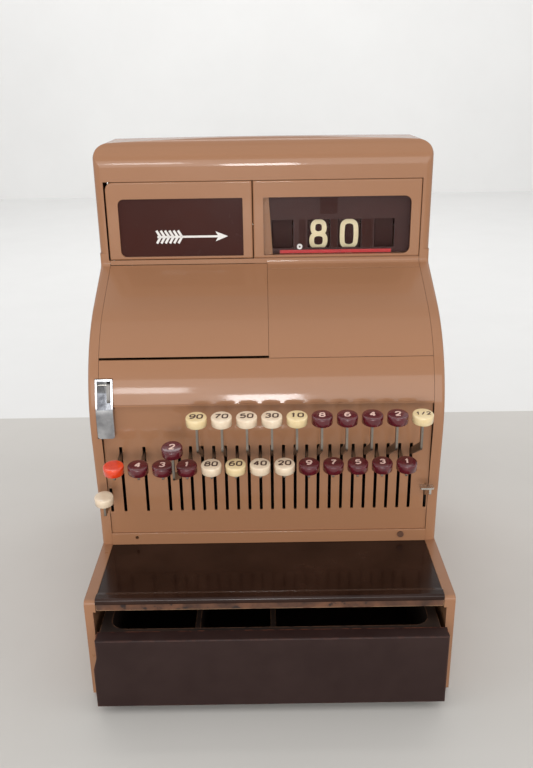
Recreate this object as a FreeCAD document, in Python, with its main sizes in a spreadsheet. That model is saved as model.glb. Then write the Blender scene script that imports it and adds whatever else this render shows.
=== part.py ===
import FreeCAD, Part
import math
import os
import Sketcher

# Ticket register on a cash drawer cabinet. Millimetres, X to the right, Y into the depth, Z up.
# The origin is the middle of the footprint, drawer ajar, on the surface that the feet stand on.
# Depths in the table are counted from the cabinet's front face, heights from the floor.

DRIVING_SIZES = (
    ("body_width", "332", "width of the cabinet, the covers and the hood"),
    ("cabinet_depth", "387", "front face of the cheeks to the back"),
    ("drawer_ajar", "25", "how far the drawer stands out as stored"),
    ("foot_height", "3", "rubber foot"),
    ("foot_radius", "9", "rubber foot"),
    ("foot_inset", "24", "foot centre from the cabinet's edges"),
    ("deck_top", "104", "height of the deck board's flat"),
    ("seat_gap", "0.3", "gap between neighbouring pieces that lie side by side"),
    ("overrun", "5", "how far a cut runs past what it cuts"),
    ("cheek", "10", "cheek of the casing beside the deck"),
    ("cheek_rabbet", "2.4", "the cheek is thinner by this beside the drawer"),
    ("rabbet_top", "93", "height at which the cheek gets thicker"),
    ("casing_back", "8", "back wall of the casing"),
    ("casing_edge_radius", "4", "rounding of the cheek's top front edge"),
    ("casing_corner_radius", "5", "rear corners of the casing"),
    ("floor_sheet", "1.5", "cabinet floor"),
    ("floor_setback", "2", "cabinet floor behind the cheeks' front"),
    ("rib_side_inset", "50", "drawer rib's middle from the side of the body"),
    ("rib_width", "12", "drawer rib"),
    ("rib_inset", "12", "drawer rib's ends from the floor's ends"),
    ("drawer_bottom", "9", "underside of the drawer"),
    ("drawer_front_height", "72", "front board"),
    ("drawer_front_thickness", "13", "front board"),
    ("drawer_side_gap", "1.5", "front board to the opening, each side"),
    ("board_edge_radius", "1.2", "rounded edges of the front board"),
    ("board_chip_width", "3.4", "broken left end of the front board"),
    ("board_chip_height", "19", "broken left end of the front board"),
    ("board_chip_run", "12", "slope under the broken end"),
    ("tray_inset", "4", "tray narrower than the front board, each side"),
    ("tray_length", "330", "tray behind the front board"),
    ("tray_height", "68", "tray"),
    ("tray_wall", "9", "tray wall"),
    ("tray_floor", "4", "tray floor"),
    ("tray_corner_radius", "14", "inner corners of the tray"),
    ("tray_outer_radius", "6", "outer corners of the tray"),
    ("divider_thickness", "5", "divider board"),
    ("divider_height", "56", "divider board"),
    ("divider_left_place", "-66", "left divider from the middle"),
    ("divider_right_place", "3", "right divider from the middle"),
    ("deck_sheet", "3", "deck board"),
    ("deck_rear", "110", "rear edge of the deck board"),
    ("nose_reach", "1.2", "deck nose in front of the cabinet's face"),
    ("nose_height", "3", "deck nose above the deck's flat"),
    ("nose_width", "9", "deck nose, flat part"),
    ("nose_slope", "5", "run from the nose down to the flat"),
    ("nose_radius", "2.6", "rounding of the nose"),
    ("strip_height", "7", "wooden strip under the deck nose"),
    ("strip_depth", "18", "wooden strip under the deck nose"),
    ("strip_setback", "1", "wooden strip behind the cabinet's face"),
    ("sheet", "1.6", "steel sheet of the covers"),
    ("chassis_sheet", "2", "base of the mechanism chassis"),
    ("upright_sheet", "2.5", "upright sides of the mechanism chassis"),
    ("upright_inset", "6", "outer face of an upright from the side of the body"),
    ("chassis_front", "116", "front edge of the uprights"),
    ("chassis_rear_margin", "42", "uprights behind the key shaft"),
    ("chassis_knee", "250", "height where the uprights start to lean back"),
    ("chassis_neck", "300", "height of the lean's middle"),
    ("chassis_neck_depth", "128", "depth of the lean's middle"),
    ("chassis_shoulder", "340", "height of the uprights' shoulder"),
    ("chassis_shoulder_depth", "190", "depth of the uprights' shoulder"),
    ("chassis_head_margin", "34", "upright round the indicator shaft"),
    ("foot_front", "94.5", "depth of the side cover's front near the deck"),
    ("foot_front_top", "148", "height where the side cover's front starts to lean out"),
    ("bulge_front", "89", "depth of the side cover's front at its fullest"),
    ("bulge_low", "225", "height of the fullest stretch's lower end"),
    ("bend_radius", "80", "soft bends of the side cover's front"),
    ("brow_radius", "117", "big curve from the keys to the slope"),
    ("slope_run", "114", "level length of the slope"),
    ("slope_rise", "60.5", "rise of the slope"),
    ("slope_top", "363", "height of the slope's upper end"),
    ("hood_front", "203", "depth of the display front"),
    ("slope_corner_radius", "4", "bend between the slope and the display front"),
    ("cover_edge_radius", "3", "outer front edge of the side covers"),
    ("cover_side_sheet", "1.5", "side wall of the side covers"),
    ("hood_bottom", "375", "lower edge of the hood"),
    ("hood_side_top", "480", "height of the hood's side edges"),
    ("hood_peak", "7", "peak of the crown's tangents above the side edges"),
    ("hood_crown_radius", "3200", "crown of the hood's top"),
    ("hood_corner_radius", "15", "upper corners of the hood, seen from the front"),
    ("hood_brow_top", "487", "height of the hood's front edge before it is rounded"),
    ("hood_fall", "16", "fall of the hood's top towards the back"),
    ("hood_brow_radius", "26", "rounded front edge of the hood's top"),
    ("hood_back_radius", "14", "rounded rear edge of the hood's top"),
    ("hood_edge_radius", "7", "front and rear edges of the hood"),
    ("display_bottom", "368", "lower edge of the display door and the indicator frame"),
    ("display_top", "444.5", "upper edge of the display door and the indicator frame"),
    ("display_split", "-11.2", "split between the door and the frame"),
    ("display_gap", "0.4", "half of the gap at the split, and the gap round the frame"),
    ("door_hinge_gap", "1.1", "gap on the door's hinge side"),
    ("display_wall", "2.4", "wall of the door and of the frame"),
    ("display_depth", "9", "depth of the door and of the frame"),
    ("display_edge_radius", "1.5", "outer edges of the door and of the frame"),
    ("door_corner_radius", "8", "upper hinge corner of the door"),
    ("small_corner_radius", "1", "square corners of the windows and the door"),
    ("window_bottom", "370.8", "lower edge of both windows"),
    ("window_top", "428.1", "upper edge of both windows"),
    ("door_window_margin", "11.5", "left window from the hinge edge of the door"),
    ("door_window_edge", "9.4", "left window from the free edge of the door"),
    ("door_window_radius", "6", "left corners of the left window"),
    ("frame_window_edge", "10.1", "right window from the frame's left edge"),
    ("frame_window_margin", "9.9", "right window from the frame's right edge"),
    ("frame_window_radius", "7", "right corners of the right window"),
    ("panel_margin", "3.4", "arrow panel and glass past their windows"),
    ("panel_sheet", "2", "arrow panel"),
    ("glass_sheet", "1.8", "glass of the indicator"),
    ("tongue_foot", "9.1", "tan side plate past the window's edge, lower end"),
    ("tongue_head", "5.3", "tan side plate past the window's edge, upper end"),
    ("mask_place", "7.4", "mask behind the display front"),
    ("mask_sheet", "1.5", "mask"),
    ("mask_low", "376", "lower edge of the mask's openings"),
    ("mask_high", "404.5", "upper edge of the mask's openings"),
    ("sill_reach", "7.6", "sill of the frame down the slope"),
    ("wheel_radius", "56", "number wheels"),
    ("wheel_gap", "2", "number wheels behind the mask"),
    ("wheel_rim", "2.5", "rim of a number wheel"),
    ("wheel_web", "2", "web of a number wheel"),
    ("wheel_hub_radius", "9", "hub of a number wheel"),
    ("wheel_side_gap", "0.8", "number wheel narrower than its opening, each side"),
    ("indicator_height", "391", "indicator shaft"),
    ("pounds_window", "18.5", "middle of the pounds wheel"),
    ("pounds_window_width", "21.5", "opening of the pounds wheel"),
    ("tens_window", "55", "middle of the tens wheel"),
    ("tens_window_width", "22.5", "opening of the tens wheel"),
    ("units_window", "86", "middle of the units wheel"),
    ("units_window_width", "23", "opening of the units wheel"),
    ("half_window", "121", "middle of the half wheel"),
    ("half_window_width", "20", "opening of the half wheel"),
    ("shaft_radius", "4", "key shaft and indicator shaft"),
    ("running_gap", "0.05", "a hole over the radius of its shaft"),
    ("shaft_end_gap", "0.1", "shaft's ends inside the uprights' outer faces"),
    ("key_shaft_depth", "330", "key shaft"),
    ("key_shaft_height", "185", "key shaft"),
    ("slope_split", "2.6", "split between the printer lid and the slope panel"),
    ("lid_bottom", "294.6", "lower edge of the lid and of the slope panel"),
    ("lid_bottom_gap", "1.8", "open gap under the printer lid"),
    ("lid_top_gap", "0.8", "printer lid's upper edge before the display front"),
    ("sill_gap", "1", "seam between the sill and the slope panel"),
    ("lid_pin_place", "3", "lid's hinge down the slope from its upper edge"),
    ("lid_lug_width", "8", "hinge lug of the printer lid"),
    ("lid_lug_inset", "14", "hinge lug from the lid's end"),
    ("lid_lug_wall", "1.6", "hinge lug round its pin"),
    ("front_cover_bottom", "254", "lower edge of the curved front cover"),
    ("pin_radius", "1.2", "hinge pins"),
    ("pin_clear", "0.1", "pin to the wall beside it"),
    ("door_pin_place", "3", "door's hinge pin from its edge"),
    ("key_plate_inset", "6", "key plate behind the side cover at its fullest"),
    ("key_plate_bottom", "139", "lower edge of the key plate"),
    ("key_plate_top", "258", "upper edge of the key plate"),
    ("slot_width", "3", "key slot"),
    ("slot_bottom", "141", "key slots"),
    ("slot_top", "211", "long key slots"),
    ("short_slot_top", "167", "short key slots"),
    ("key_pitch", "11.1", "from one key slot to the next"),
    ("key_middle", "12.62", "count of the slot place that lies in the middle"),
    ("short_key_inset", "12.8", "short key from the side of the body"),
    ("rail_front", "96", "face of the lower rail"),
    ("flange_front", "93.5", "face of the lower rail's flange"),
    ("flange_top", "117", "upper edge of the flange"),
    ("rail_screw_inset", "35", "screws of the lower rail from the side of the body"),
    ("rail_screw_height", "112", "screws of the lower rail"),
    ("screw_radius", "1.6", "screw shank"),
    ("screw_head_radius", "3.2", "screw head"),
    ("screw_head_height", "1.3", "screw head"),
    ("screw_length", "6", "screw shank behind its head"),
    ("screw_gap", "0.1", "screw hole over the shank"),
    ("rear_setback", "1.3", "rear cover before the cabinet's back"),
    ("rear_screw_inset", "9", "rear screws from the rear cover's edges"),
    ("lever_sheet", "2", "key lever"),
    ("lever_hub_radius", "8", "key lever round its shaft"),
    ("lever_front_height", "7", "key lever where it passes the key plate"),
    ("lever_root_height", "16", "key lever at its hub"),
    ("lever_top_gap", "5", "key lever below the slot's upper end"),
    ("lever_bend_radius", "3", "bends of the key lever"),
    ("lever_tip_drop", "2.5", "lever's tip below the slot's line"),
    ("neck_half", "2.6", "half of the lever's width under a cap"),
    ("neck_foot", "20", "upper lever's neck above the slot's line, where it starts"),
    ("cap_radius", "9.4", "key cap"),
    ("cap_height", "9.8", "key cap"),
    ("cap_edge_radius", "1.2", "rim of the key cap"),
    ("cap_lean", "8", "lean of the key caps towards the user, in degrees"),
    ("upper_cap_depth", "50", "middle of an upper cap's top"),
    ("upper_cap_height", "261", "middle of an upper cap's top"),
    ("lower_cap_depth", "55", "middle of a lower cap's top"),
    ("lower_cap_height", "212", "middle of a lower cap's top"),
    ("short_cap_depth", "62.6", "middle of the short key's cap"),
    ("short_cap_height", "176.5", "middle of the short key's cap"),
    ("short_cap_radius", "8.8", "cap of the short key"),
    ("pressed_angle", "5.3", "the pounds key 2 stands pressed by this, in degrees"),
    ("tab_depth", "8", "bare tab of the right short key"),
    ("tab_width", "13", "bare tab of the right short key"),
    ("tab_shift", "2.8", "tab's middle towards the machine's middle"),
    ("tab_front", "72", "front edge of the bare tab"),
    ("tab_rise", "12.5", "bare tab above the short slot's line"),
    ("catch_inset", "7", "chrome catch plate from the side of the body"),
    ("catch_width", "16", "chrome catch plate"),
    ("catch_bottom", "223", "chrome catch plate"),
    ("catch_top", "279", "chrome catch plate"),
    ("catch_split", "252", "lower end of the catch plate's recess"),
    ("catch_proud", "0.8", "catch plate in front of the side cover"),
    ("catch_top_front", "97.6", "depth of the catch plate's upper end"),
    ("catch_rear", "112", "rear of the catch plate's recess"),
    ("catch_wall", "1.5", "walls of the catch plate's recess"),
    ("catch_gap", "0.4", "openings round the catch plate"),
    ("catch_corner_radius", "2.5", "lower corners of the catch plate"),
    ("catch_pin_depth", "102", "catch lever's pin"),
    ("catch_pin_height", "272", "catch lever's pin"),
    ("catch_lever_width", "3.2", "catch lever"),
    ("catch_lever_place", "4.2", "catch lever's middle from the catch plate's right edge"),
    ("catch_hub_radius", "3.2", "catch lever round its pin"),
    ("catch_tip_depth", "93", "catch lever's tip"),
    ("catch_tip_height", "257", "catch lever's tip"),
    ("roll_radius", "28", "ticket roll"),
    ("roll_width", "57", "ticket roll"),
    ("roll_stud_radius", "6", "stud in the ticket roll's core"),
    ("roll_depth", "190", "ticket roll"),
    ("roll_height", "300", "ticket roll"),
    ("roll_side_gap", "4", "ticket roll from the upright"),
    ("roll_stud_reach", "2", "stud past the ticket roll"),
)

# Key names from left to right, each with its place in the row of slots and whether its cap stands high.
BANK_KEYS = (
    ("key_red", 0, False),
    ("key_pounds_4", 2, False),
    ("key_pounds_3", 4, False),
    ("key_pounds_2", 5, True),
    ("key_pounds_1", 6, False),
    ("key_tens_9", 7, True),
    ("key_tens_8", 8, False),
    ("key_tens_7", 9, True),
    ("key_tens_6", 10, False),
    ("key_tens_5", 11, True),
    ("key_tens_4", 12, False),
    ("key_tens_3", 13, True),
    ("key_tens_2", 14, False),
    ("key_tens_1", 15, True),
    ("key_units_9", 16, False),
    ("key_units_8", 17, True),
    ("key_units_7", 18, False),
    ("key_units_6", 19, True),
    ("key_units_5", 20, False),
    ("key_units_4", 21, True),
    ("key_units_3", 22, False),
    ("key_units_2", 23, True),
    ("key_units_1", 24, False),
    ("key_half", 25, True),
)
PRESSED_KEY = "key_pounds_2"

document = FreeCAD.newDocument("TicketRegister")
sheet_object = document.addObject("Spreadsheet::Sheet", "Sizes")
for row, (alias, value, note) in enumerate(DRIVING_SIZES, start=1):
    sheet_object.set(f"A{row}", alias)
    sheet_object.set(f"B{row}", value)
    sheet_object.set(f"C{row}", note)
    sheet_object.setAlias(f"B{row}", alias)
document.recompute()


class Size:
    """A number together with the expression by which the document works it out."""

    def __init__(self, text, value):
        self.text = text
        self.value = float(value)

    def __add__(self, other):
        other = as_size(other)
        return Size(f"({self.text} + {other.text})", self.value + other.value)

    def __radd__(self, other):
        return as_size(other) + self

    def __sub__(self, other):
        other = as_size(other)
        return Size(f"({self.text} - {other.text})", self.value - other.value)

    def __rsub__(self, other):
        return as_size(other) - self

    def __mul__(self, other):
        other = as_size(other)
        return Size(f"({self.text} * {other.text})", self.value * other.value)

    def __rmul__(self, other):
        return self * other

    def __truediv__(self, other):
        other = as_size(other)
        return Size(f"({self.text} / {other.text})", self.value / other.value)

    def __neg__(self):
        return Size(f"(-1 * {self.text})", -self.value)

    def root(self):
        return Size(f"sqrt({self.text})", math.sqrt(self.value))

    def sine(self):
        return Size(f"sin({self.text} * 1 deg)", math.sin(math.radians(self.value)))

    def cosine(self):
        return Size(f"cos({self.text} * 1 deg)", math.cos(math.radians(self.value)))


def as_size(number):
    """The number itself when it is a Size already."""
    return number if isinstance(number, Size) else Size(repr(number), number)


SIZES = {alias: Size(f"Sizes.{alias}", sheet_object.get(alias)) for alias, _, _ in DRIVING_SIZES}


def size(alias):
    """A driving size by its name."""
    return SIZES[alias]


NOTHING = as_size(0)
HALF_WIDTH = size("body_width") / 2
FRONT = (size("drawer_ajar") - size("cabinet_depth")) / 2
GAP = size("seat_gap")
CATCH_LEFT = size("catch_inset") - HALF_WIDTH
SHEET = size("sheet")
OVERRUN = size("overrun")


def depth(alias):
    """A driving depth as a place on the Y axis."""
    return FRONT + size(alias)


PLATE_FRONT = depth("bulge_front") + size("key_plate_inset")


class Rounded:
    """A corner of an outline with a rounding."""

    def __init__(self, across, up, radius):
        self.across = as_size(across)
        self.up = as_size(up)
        self.radius = radius


def sharp(across, up):
    """A corner of an outline with no rounding."""
    return Rounded(across, up, None)


class Circle:
    """A round outline."""

    def __init__(self, across, up, radius):
        self.across = across
        self.up = up
        self.radius = radius


def rectangle(left, bottom, right, top, radius=None):
    """The four corners of an upright rectangle."""
    return [Rounded(left, bottom, radius), Rounded(right, bottom, radius),
            Rounded(right, top, radius), Rounded(left, top, radius)]


class Piece:
    """A PartDesign body made of sketches whose places and sizes are bound to the sheet."""

    def __init__(self, label):
        self.body = document.addObject("PartDesign::Body", label)
        self.body.Label = label

    def plane(self, role):
        return next(feature for feature in self.body.Origin.OriginFeatures if feature.Role == role)

    def sketch(self, role, loops, offset):
        drawing = self.body.newObject("Sketcher::SketchObject", f"{self.body.Name}_sketch")
        drawing.AttachmentSupport = [(self.plane(role), "")]
        drawing.MapMode = "FlatFace"
        drawing.setExpression(".AttachmentOffset.Base.z", offset.text)
        for loop in loops:
            if isinstance(loop, Circle):
                draw_circle(drawing, loop)
            else:
                draw_loop(drawing, loop)
        return drawing

    def pad(self, role, loops, start, end):
        """Adds the outline between two places along the plane's axis."""
        offset = -end if role == "XZ_Plane" else start
        feature = self.body.newObject("PartDesign::Pad", f"{self.body.Name}_pad")
        return self.extrude(feature, role, loops, offset, end - start)

    def pocket(self, role, loops, start, end):
        """Removes the outline between two places along the plane's axis."""
        offset = -start if role == "XZ_Plane" else end
        feature = self.body.newObject("PartDesign::Pocket", f"{self.body.Name}_pocket")
        return self.extrude(feature, role, loops, offset, end - start)

    def extrude(self, feature, role, loops, offset, length):
        self.body.removeObject(feature)
        drawing = self.sketch(role, loops, offset)
        self.body.addObject(feature)
        feature.Profile = drawing
        feature.setExpression("Length", length.text)
        return feature

    def revolve(self, role, loops, axis):
        """Turns the outline about one of the sketch's axes."""
        drawing = self.sketch(role, loops, NOTHING)
        feature = self.body.newObject("PartDesign::Revolution", f"{self.body.Name}_revolution")
        feature.Profile = drawing
        feature.ReferenceAxis = (drawing, [axis])
        feature.Angle = 360
        return feature

    def round_edges(self, chosen, radius):
        """Rounds the edges for which the test holds."""
        self.body.recompute(True)
        base = self.body.Tip
        names = [f"Edge{number}" for number, edge in enumerate(base.Shape.Edges, start=1) if chosen(edge)]
        feature = self.body.newObject("PartDesign::Fillet", f"{self.body.Name}_fillet")
        feature.Base = (base, names)
        feature.setExpression("Radius", radius.text)
        return feature

    def place(self, across, inward, up):
        """Moves the whole body."""
        for axis, value in (("x", across), ("y", inward), ("z", up)):
            self.body.setExpression(f"Placement.Base.{axis}", as_size(value).text)


def draw_circle(drawing, circle):
    centre = FreeCAD.Vector(circle.across.value, circle.up.value, 0)
    index = drawing.addGeometry(Part.Circle(centre, FreeCAD.Vector(0, 0, 1), circle.radius.value), False)
    hold(drawing, Sketcher.Constraint("Radius", index, circle.radius.value), circle.radius)
    hold_point(drawing, index, 3, circle.across, circle.up)


def hold(drawing, constraint, value):
    """Adds a constraint and binds it to its size."""
    drawing.setExpression(f"Constraints[{drawing.addConstraint(constraint)}]", value.text)


def hold_point(drawing, index, end, across, up):
    hold(drawing, Sketcher.Constraint("DistanceX", -1, 1, index, end, across.value), across)
    hold(drawing, Sketcher.Constraint("DistanceY", -1, 1, index, end, up.value), up)


def draw_loop(drawing, corners):
    """Draws a closed outline of straight lines, with an arc at each rounded corner."""
    count = len(corners)
    places = [FreeCAD.Vector(corner.across.value, corner.up.value, 0) for corner in corners]
    entries, exits, arcs = [], [], {}
    for number, corner in enumerate(corners):
        here, before, after = places[number], places[number - 1], places[(number + 1) % count]
        if corner.radius is None:
            entries.append(here)
            exits.append(here)
            continue
        towards, onwards = (before - here).normalize(), (after - here).normalize()
        half_angle = towards.getAngle(onwards) / 2
        reach = corner.radius.value / math.tan(half_angle)
        entries.append(here + towards * reach)
        exits.append(here + onwards * reach)
        middle = here + (towards + onwards).normalize() * (corner.radius.value / math.sin(half_angle))
        top = middle - (towards + onwards).normalize() * corner.radius.value
        arcs[number] = Part.Arc(entries[-1], top, exits[-1])
    lines = [drawing.addGeometry(Part.LineSegment(exits[number], entries[(number + 1) % count]), False)
             for number in range(count)]
    for number, corner in enumerate(corners):
        line_in, line_out = lines[number - 1], lines[number]
        if corner.radius is None:
            drawing.addConstraint(Sketcher.Constraint("Coincident", line_in, 2, line_out, 1))
            hold_point(drawing, line_out, 1, corner.across, corner.up)
            continue
        point = drawing.addGeometry(Part.Point(places[number]), True)
        hold_point(drawing, point, 1, corner.across, corner.up)
        drawing.addConstraint(Sketcher.Constraint("PointOnObject", point, 1, line_in))
        drawing.addConstraint(Sketcher.Constraint("PointOnObject", point, 1, line_out))
        arc = drawing.addGeometry(arcs[number], False)
        first, second = (1, 2) if nearest_end(drawing, arc, entries[number]) == 1 else (2, 1)
        drawing.addConstraint(Sketcher.Constraint("Tangent", line_in, 2, arc, first))
        drawing.addConstraint(Sketcher.Constraint("Tangent", arc, second, line_out, 1))
        hold(drawing, Sketcher.Constraint("Radius", arc, corner.radius.value), corner.radius)


def nearest_end(drawing, arc, place):
    """1 when the arc starts at the place, 2 when it ends there."""
    starts = drawing.getPoint(arc, 1).distanceToPoint(place)
    ends = drawing.getPoint(arc, 2).distanceToPoint(place)
    return 1 if starts < ends else 2


def lies_on(edge, axis, place):
    """True when both ends and the middle of an edge lie on a plane square to an axis."""
    box = edge.BoundBox
    low, high = {"x": (box.XMin, box.XMax), "y": (box.YMin, box.YMax), "z": (box.ZMin, box.ZMax)}[axis]
    return abs(low - place.value) < 1e-3 and abs(high - place.value) < 1e-3


def shape_cut(label, base, *tools):
    """A boolean cut of a base by the tools."""
    cutter = tools[0]
    if len(tools) > 1:
        cutter = document.addObject("Part::MultiFuse", f"{label}_tools")
        cutter.Shapes = list(tools)
    result = document.addObject("Part::Cut", label)
    result.Label = label
    result.Base = base
    result.Tool = cutter
    return result


def box(label, left, right, near, far, bottom, top):
    """A plain block between three pairs of places."""
    block = document.addObject("Part::Box", label)
    for name, value in (("Length", right - left), ("Width", far - near), ("Height", top - bottom),
                        ("Placement.Base.x", left), ("Placement.Base.y", near), ("Placement.Base.z", bottom)):
        block.setExpression(name, as_size(value).text)
    return block


def rod(label, axis, radius, start, end, first, second):
    """A round rod along X or Y or Z, whose other two places are given in X, Y, Z order."""
    bar = document.addObject("Part::Cylinder", label)
    bar.setExpression("Radius", radius.text)
    bar.setExpression("Height", (end - start).text)
    turn = {"x": FreeCAD.Rotation(0, 90, 0), "y": FreeCAD.Rotation(0, 0, -90), "z": FreeCAD.Rotation()}[axis]
    bar.Placement = FreeCAD.Placement(FreeCAD.Vector(), turn)
    others = [name for name in "xyz" if name != axis]
    for name, value in ((axis, start), (others[0], first), (others[1], second)):
        bar.setExpression(f"Placement.Base.{name}", as_size(value).text)
    return bar


def group(label, *members):
    """Separate solids that share one node."""
    together = document.addObject("Part::Compound", label)
    together.Label = label
    together.Links = list(members)
    return together


# Cabinet

CASING_TOP = size("deck_top") + GAP
CHEEK_INSIDE = HALF_WIDTH - size("cheek")
OPENING_SIDE = CHEEK_INSIDE + size("cheek_rabbet")
BACK = FRONT + size("cabinet_depth")
FLOOR_TOP = size("foot_height") + size("floor_sheet")


def make_cabinet_casing():
    casing = Piece("cabinet_casing")
    inner_back = BACK - size("casing_back")
    corner = size("casing_corner_radius")
    outline = [sharp(-HALF_WIDTH, FRONT), sharp(-CHEEK_INSIDE, FRONT),
               sharp(-CHEEK_INSIDE, inner_back), sharp(CHEEK_INSIDE, inner_back),
               sharp(CHEEK_INSIDE, FRONT), sharp(HALF_WIDTH, FRONT),
               Rounded(HALF_WIDTH, BACK, corner), Rounded(-HALF_WIDTH, BACK, corner)]
    casing.pad("XY_Plane", [outline], size("foot_height"), CASING_TOP)
    bay = rectangle(-OPENING_SIDE, FRONT - OVERRUN, OPENING_SIDE, inner_back)
    casing.pocket("XY_Plane", [bay], size("foot_height") - OVERRUN, size("rabbet_top"))
    casing.round_edges(lambda edge: lies_on(edge, "y", FRONT) and lies_on(edge, "z", CASING_TOP),
                       size("casing_edge_radius"))
    return casing.body


def make_cabinet_floor():
    floor = Piece("cabinet_floor")
    front, back = depth("floor_setback"), BACK - size("casing_back") - GAP
    side = OPENING_SIDE - GAP
    floor.pad("XY_Plane", [rectangle(-side, front, side, back)], size("foot_height"), FLOOR_TOP)
    half_rib = size("rib_width") / 2
    for sign in (-1, 1):
        middle = sign * (HALF_WIDTH - size("rib_side_inset"))
        rib = rectangle(middle - half_rib, front + size("rib_inset"),
                        middle + half_rib, back - size("rib_inset"))
        floor.pad("XY_Plane", [rib], FLOOR_TOP, size("drawer_bottom") - GAP)
    return floor.body


def make_rubber_feet():
    inset = size("foot_inset")
    feet = []
    for across in (-HALF_WIDTH + inset, HALF_WIDTH - inset):
        for inward in (FRONT + inset, BACK - inset):
            feet.append(rod(f"foot_{len(feet)}", "z", size("foot_radius"), NOTHING, size("foot_height"),
                            across, inward))
    return group("rubber_feet", *feet)


def make_deck_board():
    deck = Piece("deck_board")
    nose_front = FRONT - size("nose_reach")
    nose_top = size("deck_top") + size("nose_height")
    underside = size("deck_top") - size("deck_sheet")
    nose_back = nose_front + size("nose_width")
    radius = size("nose_radius")
    outline = [Rounded(nose_front, underside, radius / 2), Rounded(nose_front, nose_top, radius),
               Rounded(nose_back, nose_top, radius),
               Rounded(nose_back + size("nose_slope"), size("deck_top"), radius * 2),
               sharp(depth("deck_rear"), size("deck_top")), sharp(depth("deck_rear"), underside)]
    side = CHEEK_INSIDE - GAP
    deck.pad("YZ_Plane", [outline], -side, side)
    return deck.body


def make_deck_strip():
    side = CHEEK_INSIDE - GAP
    top = size("deck_top") - size("deck_sheet")
    strip = Piece("deck_strip")
    outline = rectangle(depth("strip_setback"), top - size("strip_height"),
                        depth("strip_setback") + size("strip_depth"), top)
    strip.pad("YZ_Plane", [outline], -side, side)
    return strip.body


# Drawer

BOARD_FRONT = FRONT - size("drawer_ajar")
BOARD_BACK = BOARD_FRONT + size("drawer_front_thickness")
BOARD_SIDE = OPENING_SIDE - size("drawer_side_gap")
TRAY_SIDE = BOARD_SIDE - size("tray_inset")
TRAY_BACK = BOARD_BACK + size("tray_length")
TRAY_FLOOR_TOP = size("drawer_bottom") + size("tray_floor")


def make_drawer_front():
    board = Piece("drawer_front")
    top = size("drawer_bottom") + size("drawer_front_height")
    broken_end = size("board_chip_width") - BOARD_SIDE
    broken_foot = top - size("board_chip_height")
    outline = [sharp(-BOARD_SIDE, size("drawer_bottom")), sharp(BOARD_SIDE, size("drawer_bottom")),
               sharp(BOARD_SIDE, top), sharp(broken_end, top), sharp(broken_end, broken_foot),
               sharp(-BOARD_SIDE, broken_foot - size("board_chip_run"))]
    board.pad("XZ_Plane", [outline], BOARD_FRONT, BOARD_BACK)
    board.round_edges(lambda edge: lies_on(edge, "y", BOARD_FRONT), size("board_edge_radius"))
    return board.body


def make_drawer_tray():
    tray = Piece("drawer_tray")
    wall = size("tray_wall")
    top = size("drawer_bottom") + size("tray_height")
    outer = rectangle(-TRAY_SIDE, BOARD_BACK, TRAY_SIDE, TRAY_BACK)
    for corner in outer[2:]:
        corner.radius = size("tray_outer_radius")
    tray.pad("XY_Plane", [outer], size("drawer_bottom"), top)
    inner = rectangle(-TRAY_SIDE + wall, BOARD_BACK + wall, TRAY_SIDE - wall, TRAY_BACK - wall,
                      size("tray_corner_radius"))
    tray.pocket("XY_Plane", [inner], TRAY_FLOOR_TOP, top + OVERRUN)
    return tray.body


def make_drawer_dividers():
    wall = size("tray_wall")
    half = size("divider_thickness") / 2
    boards = []
    for place in ("divider_left_place", "divider_right_place"):
        boards.append(box(place.replace("_place", "_board"), size(place) - half, size(place) + half,
                          BOARD_BACK + wall, TRAY_BACK - wall,
                          TRAY_FLOOR_TOP, TRAY_FLOOR_TOP + size("divider_height")))
    return group("drawer_dividers", *boards)


# Side covers and the skins that follow their outline

SLOPE_SHARE = size("slope_rise") / size("slope_run")
SLOPE_STRETCH = (1 + SLOPE_SHARE * SLOPE_SHARE).root()
BROW_CORNER = size("slope_top") - SLOPE_SHARE * (size("hood_front") - size("bulge_front"))


def slope_height(inward, inset=NOTHING):
    """Height of the slope's surface at a depth, or of a surface that lies under it by an inset."""
    return size("slope_top") - SLOPE_SHARE * (depth("hood_front") - inward) - inset * SLOPE_STRETCH


def brow_corner(inset):
    """The corner in which the front and the slope would meet, on a surface inset from the outer one."""
    inward = depth("bulge_front") + inset
    return Rounded(inward, slope_height(inward, inset), size("brow_radius") - inset)


def side_outline(inset, bottom, top, back):
    """The outline of a side cover, or the same outline inset from the front."""
    bend = size("bend_radius")
    front = depth("hood_front") + inset
    return [sharp(depth("foot_front") + inset, bottom),
            Rounded(depth("foot_front") + inset, size("foot_front_top"), bend),
            Rounded(depth("bulge_front") + inset, size("bulge_low"), bend),
            brow_corner(inset),
            Rounded(front, slope_height(front, inset), size("slope_corner_radius") + inset),
            sharp(front, top), sharp(back, top), sharp(back, bottom)]


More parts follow.
